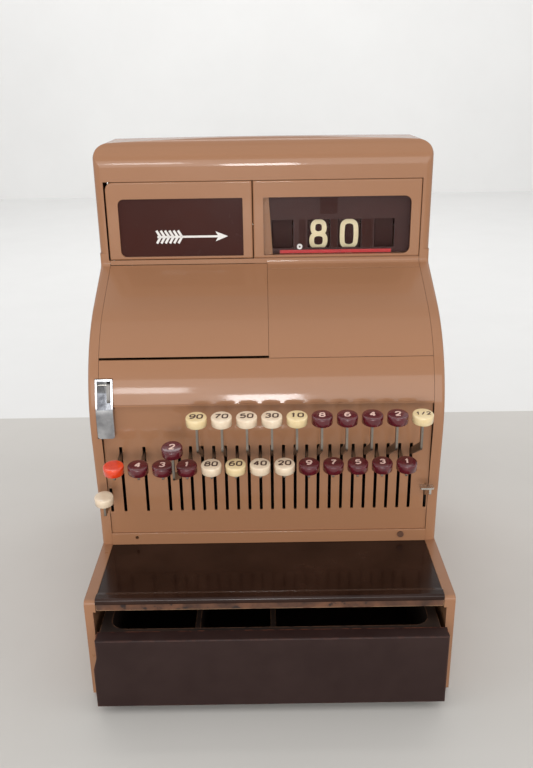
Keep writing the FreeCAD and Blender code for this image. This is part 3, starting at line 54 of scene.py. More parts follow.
PAINT_TAN: Colour = (0.318, 0.152, 0.077)
PAINT_TAN_DARK: Colour = (0.235, 0.112, 0.056)
BROWN: Colour = (0.0155, 0.0055, 0.0034)
BROWN_LIGHT: Colour = (0.05, 0.022, 0.014)
BARE_WOOD: Colour = (0.155, 0.066, 0.034)
STEEL: Colour = (0.42, 0.40, 0.37)
STEEL_DARK: Colour = (0.10, 0.09, 0.08)
CREAM: Colour = (0.80, 0.66, 0.49)
YELLOW_CREAM: Colour = (0.78, 0.62, 0.36)
MAROON: Colour = (0.105, 0.008, 0.014)
RED: Colour = (0.80, 0.062, 0.012)


class Grain(Enum):
    """How a finish's fine relief runs."""

    SPRAYED = "sprayed"
    WOOD = "wood"
    BRUSHED = "brushed"
    WOUND = "wound"


@dataclass(frozen=True)
class Finish:
    """One surface finish, from which a procedural material is made."""

    name: str
    colour: Colour
    shade: Colour
    roughness: float = 0.35
    metallic: float = 0.0
    mottle: float = 0.5
    mottle_scale: float = 9.0
    grain: Grain = Grain.SPRAYED
    grain_scale: float = 900.0
    relief: float = 0.00002
    worn: Optional[Colour] = None
    worn_width: float = 0.0009
    worn_share: float = 0.45
    specks: Optional[Colour] = None
    specks_scale: float = 60.0
    specks_level: float = 0.73
    coat: float = 0.0
    alpha: float = 1.0
    specular: float = 0.5


class NodeBench:
    """Adds the nodes of one material and joins them."""

    def __init__(self, name: str) -> None:
        """Makes an empty material with its shader.

        Args:
            name: The material's name.
        """
        self.material = bpy.data.materials.new(name)
        self.material.use_nodes = True
        self.tree = self.material.node_tree
        self.shader = next(n for n in self.tree.nodes if n.type == "BSDF_PRINCIPLED")
        self.place = self.add("ShaderNodeTexCoord").outputs["Object"]

    def add(self, kind: str, inputs: Optional[Dict[str, object]] = None,
            **settings: object) -> bpy.types.Node:
        """Adds a node.

        Args:
            kind: Blender's name of the node type.
            inputs: Values or sockets for its inputs, by name.
            **settings: Properties of the node.

        Returns:
            The new node.
        """
        node = self.tree.nodes.new(kind)
        for key, value in settings.items():
            setattr(node, key, value)
        for key, value in (inputs or {}).items():
            self.feed(node.inputs[key], value)
        return node

    def feed(self, socket: bpy.types.NodeSocket, value: object) -> None:
        """Sets an input to a value, or joins it to another socket.

        Args:
            socket: The input.
            value: A number, a colour or an output socket.
        """
        if isinstance(value, bpy.types.NodeSocket):
            self.tree.links.new(value, socket)
        elif isinstance(value, tuple) and len(value) == 3 and socket.type == "RGBA":
            socket.default_value = (*value, 1.0)
        else:
            socket.default_value = value

    def noise(self, scale: float, detail: float, stretch: Point = (1, 1, 1)) -> bpy.types.NodeSocket:
        """Noise in the row frame.

        Args:
            scale: Waves per metre.
            detail: Octaves.
            stretch: Scale of each axis.

        Returns:
            The noise from 0 to 1.
        """
        mapping = self.add("ShaderNodeMapping", {"Vector": self.place, "Scale": stretch})
        node = self.add("ShaderNodeTexNoise", {"Vector": mapping.outputs["Vector"], "Scale": scale,
                                              "Detail": detail, "Roughness": 0.6})
        return node.outputs["Fac"]

    def ramp(self, value: bpy.types.NodeSocket, low: float, high: float) -> bpy.types.NodeSocket:
        """Stretches a value so that low becomes 0 and high becomes 1.

        Args:
            value: What is stretched.
            low: What becomes 0.
            high: What becomes 1.

        Returns:
            The stretched value, held from 0 to 1.
        """
        node = self.add("ShaderNodeMapRange", {"Value": value, "From Min": low, "From Max": high})
        return node.outputs["Result"]

    def maths(self, operation: str, first: object, second: object) -> bpy.types.NodeSocket:
        """One sum, product or comparison.

        Args:
            operation: Blender's name of the operation.
            first: The first value.
            second: The second value.

        Returns:
            The result.
        """
        node = self.add("ShaderNodeMath", operation=operation)
        self.feed(node.inputs[0], first)
        self.feed(node.inputs[1], second)
        return node.outputs["Value"]

    def blend(self, share: object, first: object, second: object) -> bpy.types.NodeSocket:
        """Mixes two colours.

        Args:
            share: Share of the second colour.
            first: Colour at 0.
            second: Colour at 1.

        Returns:
            The mixed colour.
        """
        node = self.add("ShaderNodeMix", data_type="RGBA")
        self.feed(node.inputs[0], share)
        self.feed(node.inputs[6], first)
        self.feed(node.inputs[7], second)
        return node.outputs[2]

    def edges(self, width: float) -> bpy.types.NodeSocket:
        """A mask that is 1 on sharp edges.

        Args:
            width: Reach of the edge, in metres.

        Returns:
            The mask.
        """
        bevel = self.add("ShaderNodeBevel", {"Radius": width}, samples=4)
        geometry = self.add("ShaderNodeNewGeometry")
        likeness = self.add("ShaderNodeVectorMath", operation="DOT_PRODUCT")
        self.feed(likeness.inputs[0], bevel.outputs["Normal"])
        self.feed(likeness.inputs[1], geometry.outputs["Normal"])
        return self.ramp(likeness.outputs["Value"], 0.985, 0.80)


class PaintShop:
    """Makes each finish's material once."""

    GRAIN_STRETCH: Dict[Grain, Point] = {
        Grain.SPRAYED: (1, 1, 1),
        Grain.WOOD: (0.06, 1, 1),
        Grain.BRUSHED: (0.04, 0.3, 1),
        Grain.WOUND: (1, 0.02, 0.02),
    }
    CLOUDS: Flat = (0.35, 0.7)
    SMUDGES: Flat = (0.3, 0.75)
    SMUDGES_FINER = 4
    SMUDGE_ROUGHNESS = 0.12
    SPECKS_EDGE = 0.04
    RUB_SCALE = 130
    RUB_EDGE = 0.1
    WORN_ROUGHNESS = 0.6
    COAT_ROUGHNESS = 0.07
    BUMP_STRENGTH = 0.6

    def __init__(self) -> None:
        """Starts with no material made."""
        self.made: Dict[str, bpy.types.Material] = {}

    def material(self, finish: Finish) -> bpy.types.Material:
        """The material of a finish.

        Args:
            finish: The finish.

        Returns:
            Its material.
        """
        if finish.name not in self.made:
            self.made[finish.name] = self.mix(finish)
        return self.made[finish.name]

    def mix(self, finish: Finish) -> bpy.types.Material:
        """Builds a material from a finish.

        Args:
            finish: The finish.

        Returns:
            The new material.
        """
        bench = NodeBench(finish.name)
        shader = bench.shader
        clouds = bench.ramp(bench.noise(finish.mottle_scale, 4), *self.CLOUDS)
        colour = bench.blend(bench.maths("MULTIPLY", clouds, finish.mottle), finish.colour, finish.shade)
        rough = bench.ramp(bench.noise(finish.mottle_scale * self.SMUDGES_FINER, 5), *self.SMUDGES)
        rough = bench.maths("MULTIPLY_ADD", rough, self.SMUDGE_ROUGHNESS)
        rough.node.inputs[2].default_value = finish.roughness
        if finish.specks is not None:
            level = finish.specks_level
            specks = bench.ramp(bench.noise(finish.specks_scale, 6), level, level + self.SPECKS_EDGE)
            colour = bench.blend(specks, colour, finish.specks)
        if finish.worn is not None:
            kept = 1 - finish.worn_share
            rubbed = bench.ramp(bench.noise(self.RUB_SCALE, 5), kept, kept + self.RUB_EDGE)
            wear = bench.maths("MULTIPLY", bench.edges(finish.worn_width), rubbed)
            colour = bench.blend(wear, colour, finish.worn)
            rough = bench.maths("MAXIMUM", rough, bench.maths("MULTIPLY", wear, self.WORN_ROUGHNESS))
        bench.feed(shader.inputs["Base Color"], colour)
        bench.feed(shader.inputs["Roughness"], rough)
        shader.inputs["Metallic"].default_value = finish.metallic
        shader.inputs["Specular IOR Level"].default_value = finish.specular
        shader.inputs["Coat Weight"].default_value = finish.coat
        shader.inputs["Coat Roughness"].default_value = self.COAT_ROUGHNESS
        if finish.alpha < 1:
            shader.inputs["Alpha"].default_value = finish.alpha
        relief = bench.noise(finish.grain_scale, 3, self.GRAIN_STRETCH[finish.grain])
        bump = bench.add("ShaderNodeBump", {"Height": relief, "Strength": self.BUMP_STRENGTH,
                                            "Distance": finish.relief})
        bench.feed(shader.inputs["Normal"], bump.outputs["Normal"])
        return bench.material


PAINT = PaintShop()

TAN_PAINT = Finish("tan_paint", PAINT_TAN, PAINT_TAN_DARK, roughness=0.32, mottle=0.12, mottle_scale=6,
                   grain_scale=260, relief=0.00003, worn=(0.16, 0.07, 0.035), worn_width=0.0007,
                   worn_share=0.42, specks=(0.2, 0.1, 0.055), specks_scale=420, specks_level=0.80, coat=0.5,
                   specular=0.15)
CASING_PAINT = Finish("casing_paint", PAINT_TAN, (0.24, 0.12, 0.07), roughness=0.26, mottle=0.25,
                      mottle_scale=14, grain_scale=300, relief=0.00004, worn=(0.13, 0.055, 0.03),
                      worn_width=0.0014, worn_share=0.5, specks=(0.18, 0.085, 0.045), specks_scale=300,
                      specks_level=0.77, coat=0.1, specular=0.35)
DECK_LACQUER = Finish("deck_lacquer", BROWN, BROWN_LIGHT, roughness=0.16, mottle=0.5, mottle_scale=18,
                      grain=Grain.WOOD, grain_scale=700, relief=0.00003, worn=(0.15, 0.06, 0.032),
                      worn_width=0.0012, worn_share=0.45, specks=(0.07, 0.03, 0.02), specks_scale=260,
                      specks_level=0.75, coat=0.1, specular=0.2)
DRAWER_LACQUER = Finish("drawer_lacquer", (0.0205, 0.0085, 0.0073), (0.033, 0.0165, 0.014), roughness=0.4,
                        mottle=0.6, mottle_scale=22, grain=Grain.WOOD, grain_scale=600, relief=0.00004,
                        worn=(0.24, 0.07, 0.035), worn_width=0.0018, worn_share=0.55,
                        specks=(0.07, 0.036, 0.028), specks_scale=280, specks_level=0.75, specular=0.22)
DRAWER_WOOD = Finish("drawer_wood", (0.020, 0.011, 0.008), (0.045, 0.023, 0.014), roughness=0.55, mottle=0.8,
                     mottle_scale=30, grain=Grain.WOOD, grain_scale=500, relief=0.00012,
                     worn=(0.2, 0.09, 0.045), worn_width=0.002, worn_share=0.6)
WORN_WOOD = Finish("worn_wood", BARE_WOOD, (0.03, 0.014, 0.01), roughness=0.45, mottle=1.0, mottle_scale=55,
                   grain=Grain.WOOD, grain_scale=500, relief=0.00015, worn=(0.4, 0.24, 0.13),
                   worn_width=0.0015, worn_share=0.6, specks=(0.02, 0.01, 0.008), specks_scale=110,
                   specks_level=0.6)
LEVER_STEEL = Finish("lever_steel", (0.29, 0.26, 0.225), STEEL_DARK, roughness=0.28, metallic=1.0,
                     mottle=0.55, mottle_scale=60, grain=Grain.BRUSHED, grain_scale=1500, relief=0.00002,
                     specks=(0.09, 0.05, 0.03), specks_scale=260, specks_level=0.68)
DARK_STEEL = Finish("dark_steel", (0.20, 0.19, 0.18), STEEL_DARK, roughness=0.42, metallic=1.0, mottle=0.6,
                    mottle_scale=25, grain=Grain.BRUSHED, grain_scale=900, specks=(0.08, 0.04, 0.02),
                    specks_scale=90, specks_level=0.72)
BRIGHT_STEEL = Finish("bright_steel", (0.62, 0.60, 0.56), STEEL, roughness=0.2, metallic=1.0, mottle=0.4,
                      mottle_scale=60, grain=Grain.BRUSHED, grain_scale=1600)
CHROME = Finish("chrome", (0.52, 0.53, 0.55), (0.20, 0.20, 0.22), roughness=0.08, metallic=1.0, mottle=0.8,
                mottle_scale=70, relief=0.00001, specks=(0.2, 0.17, 0.15), specks_scale=420,
                specks_level=0.74)
MASK_PAINT = Finish("mask_paint", (0.056, 0.0175, 0.0145), (0.038, 0.012, 0.010), roughness=0.4,
                    mottle_scale=40, grain_scale=700, specks=(0.10, 0.06, 0.05), specks_scale=240,
                    specks_level=0.77, specular=0.2)
PANEL_PAINT = Finish("panel_paint", (0.046, 0.0120, 0.0085), (0.034, 0.009, 0.007), roughness=0.18,
                     mottle=0.5, mottle_scale=14, grain_scale=500, specks=(0.15, 0.09, 0.07),
                     specks_scale=300, specks_level=0.8, specular=0.1)
WHEEL_PAINT = Finish("wheel_paint", (0.040, 0.012, 0.010), (0.042, 0.018, 0.014), roughness=0.5,
                     mottle_scale=90, grain_scale=900, specks=(0.10, 0.07, 0.05), specks_scale=380,
                     specks_level=0.76, specular=0.1)
WHEEL_NUMERAL = Finish("wheel_numeral", (0.90, 0.78, 0.50), (0.76, 0.62, 0.37), roughness=0.45, mottle=0.6,
                       mottle_scale=120, grain_scale=1200, specks=(0.25, 0.16, 0.09), specks_scale=500,
                       specks_level=0.72)
GLASS = Finish("window_glass", (0.02, 0.02, 0.02), (0.03, 0.03, 0.03), roughness=0.03, mottle=0.2,
               grain_scale=200, relief=0.000004, alpha=0.06, specular=0.35)
SCREW_PAINT = Finish("screw_paint", (0.11, 0.048, 0.027), (0.06, 0.026, 0.016), roughness=0.4,
                     mottle_scale=300, grain_scale=900)
RUBBER = Finish("foot_rubber", (0.02, 0.02, 0.02), (0.035, 0.033, 0.03), roughness=0.75, mottle_scale=80,
                grain_scale=1500, relief=0.00005)
PAPER = Finish("roll_paper", (0.80, 0.76, 0.66), (0.68, 0.62, 0.50), roughness=0.8, mottle_scale=25,
               grain=Grain.WOUND, grain_scale=3000, relief=0.00004)
ARROW_WHITE = Finish("arrow_white", (0.74, 0.72, 0.69), (0.60, 0.56, 0.53), roughness=0.5, mottle_scale=140,
                     grain_scale=1400)
STRIP_RED = Finish("strip_red", (0.62, 0.018, 0.022), (0.38, 0.012, 0.014), roughness=0.35, mottle_scale=60,
                   grain_scale=900)
MARK_WHITE = Finish("mark_white", (0.85, 0.83, 0.80), (0.7, 0.66, 0.62), roughness=0.35, mottle_scale=200,
                    grain_scale=1500)


def cap_finish(name: str, colour: Colour, shade: Colour) -> Finish:
    """A key cap's moulded plastic.

    Args:
        name: The finish's name.
        colour: Its colour.
        shade: The colour where hands have yellowed or darkened it.

    Returns:
        The finish.
    """
    return Finish(name, colour, shade, roughness=0.17, mottle=0.55, mottle_scale=140, grain_scale=900,
                  relief=0.00002, worn=shade, worn_width=0.0006, worn_share=0.5, coat=0.5)


CAP_CREAM = cap_finish("cap_cream", CREAM, (0.62, 0.44, 0.30))
CAP_YELLOW = cap_finish("cap_yellow_cream", YELLOW_CREAM, (0.66, 0.48, 0.22))
CAP_MAROON = cap_finish("cap_maroon", MAROON, (0.045, 0.006, 0.010))
CAP_RED = cap_finish("cap_red", RED, (0.45, 0.02, 0.006))
INK_DARK = Finish("ink_dark", (0.045, 0.014, 0.008), (0.09, 0.04, 0.02), roughness=0.45, mottle_scale=500,
                  grain_scale=2500)
INK_PALE = Finish("ink_pale", (0.74, 0.52, 0.44), (0.55, 0.34, 0.29), roughness=0.45, mottle_scale=500,
                  grain_scale=2500)


class Workshop:
    """Turns points into pieces and fastens them to the register's bodies."""

    @staticmethod
    def piece(name: str, build: bmesh.types.BMesh, body: str, finish: Finish, smooth: bool = False,
              slot: Optional[str] = None) -> bpy.types.Object:
        """Makes an object from a mesh under construction.

        Args:
            name: The piece's name.
            build: Its mesh, in the row frame.
            body: The body that it rides on.
            finish: Its finish.
            smooth: True for smooth shading.
            slot: Not used.

        Returns:
            The piece.
        """
        bmesh.ops.recalc_face_normals(build, faces=build.faces)
        mesh = bpy.data.meshes.new(name)
        build.to_mesh(mesh)
        build.free()
        for polygon in mesh.polygons:
            polygon.use_smooth = smooth
        mesh.materials.append(PAINT.material(finish))
        made = bpy.data.objects.new(name, mesh)
        bpy.context.scene.collection.objects.link(made)
        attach(made, body)
        log.info("%s rides on %s", name, body)
        return made

    @staticmethod
    def lathe(build: bmesh.types.BMesh, profile: Sequence[Flat], seat: Matrix, sides: int = 48) -> None:
        """Turns a profile about an axis.

        Args:
            build: The mesh that it joins.
            profile: Points as (radius, height), from the axis at the bottom to the axis at the top.
            seat: Places the turned form.
            sides: Facets round the axis.
        """
        rings: List[List[bmesh.types.BMVert]] = []
        for radius, height in profile:
            if radius < HAIR / 10:
                rings.append([build.verts.new(seat @ Vector((0, 0, height)))])
                continue
            turn = [2 * math.pi * side / sides for side in range(sides)]
            rings.append([build.verts.new(seat @ Vector((radius * math.cos(a), radius * math.sin(a), height)))
                          for a in turn])
        for low, high in zip(rings, rings[1:]):
            for side in range(sides):
                after = (side + 1) % sides
                if len(low) == 1:
                    build.faces.new((low[0], high[side], high[after]))
                elif len(high) == 1:
                    build.faces.new((low[side], low[after], high[0]))
                else:
                    build.faces.new((low[side], low[after], high[after], high[side]))

    @staticmethod
    def plate(build: bmesh.types.BMesh, outline: Sequence[Flat], seat: Matrix, thickness: float) -> None:
        """A flat plate with an outline.

        Args:
            build: The mesh that it joins.
            outline: Corners in order, in the seat's own plane.
            seat: Places the plate, whose thickness runs along the seat's third axis.
            thickness: The plate's thickness.
        """
        low = [build.verts.new(seat @ Vector((x, y, 0))) for x, y in outline]
        high = [build.verts.new(seat @ Vector((x, y, thickness))) for x, y in outline]
        build.faces.new(low)
        build.faces.new(high)
        for index in range(len(outline)):
            after = (index + 1) % len(outline)
            build.faces.new((low[index], low[after], high[after], high[index]))

    @staticmethod
    def ribbon(build: bmesh.types.BMesh, line: Sequence[Flat], width: float, lift: Lift,
               thickness: float, closed: bool = False) -> None:
        """A flat stroke of even width with round ends.

        Args:
            build: The mesh that it joins.
            line: The stroke's middle line.
            width: The stroke's width.
            lift: Gives the place of a point (across, up, out) of the flat drawing.
            thickness: How far the stroke stands out.
            closed: True when the line runs back to its start.
        """
        count = len(line)
        rails: List[Tuple[Flat, Flat]] = []
        for index, (x, y) in enumerate(line):
            before = line[index - 1] if closed or index else line[index]
            after = line[(index + 1) % count] if closed or index + 1 < count else line[index]
            run = Vector((after[0] - before[0], after[1] - before[1])).normalized()
            rails.append(((x - run.y * width / 2, y + run.x * width / 2),
                          (x + run.y * width / 2, y - run.x * width / 2)))
        rows = [[build.verts.new(lift(*left, 0)), build.verts.new(lift(*left, thickness)),
                 build.verts.new(lift(*right, thickness)), build.verts.new(lift(*right, 0))]
                for left, right in rails]
        for index in range(count if closed else count - 1):
            first, second = rows[index], rows[(index + 1) % count]
            for corner in range(4):
                nxt = (corner + 1) % 4
                build.faces.new((first[corner], first[nxt], second[nxt], second[corner]))
        if not closed:
            build.faces.new(rows[0])
            build.faces.new(rows[-1])


class Numerals:
    """Figures drawn as strokes in a box one unit wide and high."""

    STROKE_SHARES: Dict[str, List[List[Flat]]] = {
        "0": [[(0.5, 0.0), (0.9, 0.08), (1.0, 0.3), (1.0, 0.7), (0.9, 0.92), (0.5, 1.0),
               (0.1, 0.92), (0.0, 0.7), (0.0, 0.3), (0.1, 0.08), (0.5, 0.0)]],
        "1": [[(0.2, 0.78), (0.42, 0.86), (0.55, 1.0), (0.55, 0.5), (0.55, 0.0)]],
        "2": [[(0.04, 0.74), (0.12, 0.92), (0.5, 1.0), (0.88, 0.92), (0.96, 0.72), (0.8, 0.48), (0.35, 0.2),
               (0.04, 0.02)], [(0.04, 0.0), (0.5, 0.0), (1.0, 0.0)]],
        "3": [[(0.05, 0.82), (0.3, 0.98), (0.7, 0.98), (0.92, 0.8), (0.8, 0.58), (0.45, 0.53)],
              [(0.45, 0.53), (0.85, 0.46), (0.98, 0.24), (0.75, 0.02), (0.3, 0.0), (0.02, 0.16)]],
        "4": [[(0.72, 0.0), (0.72, 0.5), (0.72, 1.0)], [(0.72, 1.0), (0.36, 0.66), (0.0, 0.28)],
              [(0.0, 0.28), (0.5, 0.28), (1.0, 0.28)]],
        "5": [[(0.92, 1.0), (0.5, 1.0), (0.14, 1.0)], [(0.14, 1.0), (0.11, 0.76), (0.08, 0.54)],
              [(0.08, 0.54), (0.5, 0.64), (0.9, 0.54), (1.0, 0.3), (0.84, 0.06), (0.45, 0.0), (0.02, 0.1)]],
        "6": [[(0.92, 0.94), (0.5, 0.98), (0.14, 0.8), (0.0, 0.45), (0.08, 0.12), (0.48, 0.0), (0.9, 0.1),
               (1.0, 0.32), (0.86, 0.54), (0.5, 0.6), (0.12, 0.5), (0.02, 0.36)]],
        "7": [[(0.02, 1.0), (0.5, 1.0), (1.0, 1.0)], [(1.0, 1.0), (0.66, 0.6), (0.42, 0.28), (0.34, 0.0)]],
        "8": [[(0.5, 0.53), (0.84, 0.6), (0.92, 0.77), (0.82, 0.94), (0.5, 1.0), (0.18, 0.94), (0.08, 0.77),
               (0.16, 0.6), (0.5, 0.53)],
              [(0.5, 0.53), (0.9, 0.46), (1.0, 0.26), (0.88, 0.06), (0.5, 0.0), (0.12, 0.06), (0.0, 0.26),
               (0.1, 0.46), (0.5, 0.53)]],
        "9": [[(0.08, 0.06), (0.5, 0.02), (0.86, 0.2), (1.0, 0.55), (0.92, 0.88), (0.52, 1.0), (0.1, 0.9),
               (0.0, 0.68), (0.14, 0.46), (0.5, 0.4), (0.88, 0.5), (0.98, 0.64)]],
        "/": [[(0.15, 0.0), (0.5, 0.5), (0.85, 1.0)]],
    }
    STEPS = 6

    @classmethod
    def smooth(cls, points: Sequence[Flat]) -> List[Flat]:
        """A smooth line through points.

        Args:
            points: What the line goes through.

        Returns:
            The points of the line, closely spaced.
        """
        closed = points[0] == points[-1]
        line: List[Flat] = []
        count = len(points)
        for index in range(count - 1):
            before = points[index - 1] if index else (points[-2] if closed else points[0])
            after = points[index + 2] if index + 2 < count else (points[1] if closed else points[-1])
            p1, p2 = points[index], points[index + 1]
            for step in range(cls.STEPS):
                t = step / cls.STEPS
                line.append(tuple(
                    0.5 * ((2 * b) + (c - a) * t + (2 * a - 5 * b + 4 * c - d) * t * t
                           + (3 * b - a - 3 * c + d) * t ** 3)
                    for a, b, c, d in zip(before, p1, p2, after)))
        if not closed:
            line.append(points[-1])
        return line

    @classmethod
    def draw(cls, build: bmesh.types.BMesh, text: str, middle: Flat, width: float, height: float,
             stroke: float, gap: float, slant: float, lift: Lift, thickness: float) -> None:
        """Draws figures side by side.

        Args:
            build: The mesh that they join.
            text: The figures.
            middle: Middle of the whole, in the drawing.
            width: Width of one figure.
            height: Height of a figure.
            stroke: Width of a stroke.
            gap: Space between two figures.
            slant: Sideways lean per unit of height.
            lift: Places a point of the drawing.
            thickness: How far the strokes stand out.
        """
        total = len(text) * width + (len(text) - 1) * gap
        for place, figure in enumerate(text):
            left = middle[0] - total / 2 + place * (width + gap)
            for number, stroke_points in enumerate(cls.STROKE_SHARES[figure]):
                line = []
                for x, y in cls.smooth(stroke_points):
                    up = (y - 0.5) * (height - stroke)
                    line.append((left + stroke / 2 + x * (width - stroke) + slant * up, middle[1] + up))
                closed = stroke_points[0] == stroke_points[-1]
                layer = thickness * (1 + 0.15 * number)
                Workshop.ribbon(build, line, stroke, lift, layer, closed)


@dataclass
class Keyboard:
    """The bank keys, the left short key and what is printed on them."""

    pitch: float = 0.0111
    middle_count: float = 12.62
    cap_radius: float = 0.0094
    cap_height: float = 0.0086
    boss_radius: float = 0.0036
    boss_height: float = 0.0012
    rim: float = 0.0013
    dome: float = 0.00035
    lean: float = 8.0
    upper_top: Flat = (-0.131, 0.261)
    lower_top: Flat = (-0.126, 0.212)
    short_top: Flat = (-0.1184, 0.1765)
    short_across: float = -0.1532
    short_radius: float = 0.0088
    shaft: Flat = (0.149, 0.185)
    pressed: float = 5.3
    figure_height: float = 0.0078
    figure_width: float = 0.0058
    stroke: float = 0.0015
    figure_gap: float = 0.0007
    slant: float = 0.08
    fraction_share: float = 0.72
    keys: List[Tuple[str, int, bool, str, Finish]] = field(default_factory=lambda: [
        ("key_red", 0, False, "", CAP_RED),
        ("key_pounds_4", 2, False, "4", CAP_MAROON),
        ("key_pounds_3", 4, False, "3", CAP_MAROON),
        ("key_pounds_2", 5, True, "2", CAP_MAROON),
        ("key_pounds_1", 6, False, "1", CAP_MAROON),
        ("key_tens_9", 7, True, "90", CAP_YELLOW),
        ("key_tens_8", 8, False, "80", CAP_CREAM),
        ("key_tens_7", 9, True, "70", CAP_CREAM),
        ("key_tens_6", 10, False, "60", CAP_YELLOW),
        ("key_tens_5", 11, True, "50", CAP_CREAM),
        ("key_tens_4", 12, False, "40", CAP_CREAM),
        ("key_tens_3", 13, True, "30", CAP_CREAM),
        ("key_tens_2", 14, False, "20", CAP_CREAM),
        ("key_tens_1", 15, True, "10", CAP_YELLOW),
        ("key_units_9", 16, False, "9", CAP_MAROON),
        ("key_units_8", 17, True, "8", CAP_MAROON),
        ("key_units_7", 18, False, "7", CAP_MAROON),
        ("key_units_6", 19, True, "6", CAP_MAROON),
        ("key_units_5", 20, False, "5", CAP_MAROON),
        ("key_units_4", 21, True, "4", CAP_MAROON),
        ("key_units_3", 22, False, "3", CAP_MAROON),
        ("key_units_2", 23, True, "2", CAP_MAROON),
        ("key_units_1", 24, False, "1", CAP_MAROON),
        ("key_half", 25, True, "1/2", CAP_YELLOW),
    ])

    def cap_seat(self, across: float, top: Flat, turned: float) -> Matrix:
        """Where a cap sits, with its top's middle at the origin and its axis upwards.

        Args:
            across: The key's place along X.
            top: Depth and height of the middle of the cap's top.
            turned: How far the key stands pressed, in degrees.

        Returns:
            The matrix from the cap's own frame to the row frame.
        """
        seat = Matrix.Translation((across, *top)) @ Matrix.Rotation(math.radians(self.lean), 4, "X")
        centre = Matrix.Translation((0, *self.shaft))
        return centre @ Matrix.Rotation(math.radians(turned), 4, "X") @ centre.inverted() @ seat

    def cap_profile(self, radius: float) -> List[Flat]:
        """The cap's section, with the small boss that holds it on its lever.

        Args:
            radius: The cap's radius.

        Returns:
            Points as (radius, height), with height 0 at the top.
        """
        low, rim = -self.cap_height, self.rim
        points = [(0.0, low - self.boss_height), (self.boss_radius, low - self.boss_height),
                  (self.boss_radius, low), (radius - rim / 2, low), (radius, low + rim / 2)]
        for step in range(7):
            angle = math.pi / 2 * step / 6
            points.append((radius - rim + rim * math.cos(angle), -rim - self.dome + rim * math.sin(angle)))
        for share in (0.75, 0.5, 0.25):
            points.append((radius * share, -self.dome * share * share))
        points.append((0.0, 0.0))
        return points

    def lever_of(self, node: str) -> Optional[bmesh.types.BMesh]:
        """A copy of a key's steel lever, without its cap.

        Args:
            node: The key's node.

        Returns:
            The lever's mesh.
        """
        build = bmesh.new()
        build.from_mesh(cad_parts[node].data)
        bmesh.ops.remove_doubles(build, verts=build.verts, dist=HAIR / 100)
        loose = set(build.verts)
        parts: List[set] = []
        while loose:
            part, queue = set(), [loose.pop()]
            while queue:
                vert = queue.pop()
                part.add(vert)
                for edge in vert.link_edges:
                    other = edge.other_vert(vert)
                    if other in loose:
                        loose.remove(other)
                        queue.append(other)
            parts.append(part)
        keep = max(parts, key=lambda part: max(v.co.y for v in part))
        bmesh.ops.delete(build, geom=[v for v in build.verts if v not in keep], context="VERTS")
        return build

    def make_key(self, node: str, across: float, top: Flat, radius: float, text: str, finish: Finish,
                 turned: float) -> None:
        """Makes a lever, its cap and the figures on it.

        Args:
            node: The key's node and body.
            across: The key's place along X.
            top: Depth and height of the cap's top.
            radius: The cap's radius.
            text: The figures.
            finish: The cap's finish.
            turned: How far the key stands pressed, in degrees.
        """
        seat = self.cap_seat(across, top, turned)
        lever = Workshop.piece(f"{node}_lever", self.lever_of(node), node, LEVER_STEEL, slot="lever_steel")
        self.soften(lever)
        build = bmesh.new()
        Workshop.lathe(build, self.cap_profile(radius), seat)
        cap = Workshop.piece(f"{node}_cap", build, node, finish, smooth=True, slot=finish.name)
        cap.data.set_sharp_from_angle(angle=math.radians(50))
        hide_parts(node)
        if text:
            self.print_figures(node, text, seat, finish)

    @staticmethod
    def soften(lever: bpy.types.Object) -> None:
        """Breaks a lever's edges a little.

        Args:
            lever: The lever.
        """
        edge = lever.modifiers.new("broken_edges", "BEVEL")
        edge.width = 0.00022
        edge.segments = 2
        edge.limit_method = "ANGLE"
        edge.angle_limit = math.radians(50)

    def print_figures(self, node: str, text: str, seat: Matrix, finish: Finish) -> None:
        """Prints a key's figures on its cap.

        Args:
            node: The key's node.
            text: The figures.
            seat: The cap's place.
            finish: The cap's finish.
        """
        def lift(x: float, y: float, out: float) -> Vector:
            """Places a point of the drawing on the cap's slightly domed top.

            Args:
                x: Across.
                y: Up the drawing.
                out: Above the cap.

            Returns:
                The place in the row frame.
            """
            fall = self.dome * (x * x + y * y) / (self.cap_radius * self.cap_radius)
            return seat @ Vector((x, y, out - fall + HAIR / 5))

        build = bmesh.new()
        narrow = self.fraction_share if len(text) > 2 else 1.0
        Numerals.draw(build, text, (0, 0), self.figure_width * narrow, self.figure_height * narrow,
                      self.stroke * narrow, self.figure_gap * narrow, self.slant, lift, HAIR / 2)
        ink = INK_PALE if finish is CAP_MAROON else INK_DARK
        Workshop.piece(f"{node}_figures", build, node, ink, slot=finish.name)

    def build(self) -> None:
        """Makes every bank key and the left short key."""
        for node, count, high, text, finish in self.keys:
            top = self.upper_top if high else self.lower_top
            turned = self.pressed if node == "key_pounds_2" else 0.0
            across = (count - self.middle_count) * self.pitch
            self.make_key(node, across, top, self.cap_radius, text, finish, turned)
        self.make_key("left_short_key", self.short_across, self.short_top, self.short_radius, "",
                      CAP_CREAM, 0.0)


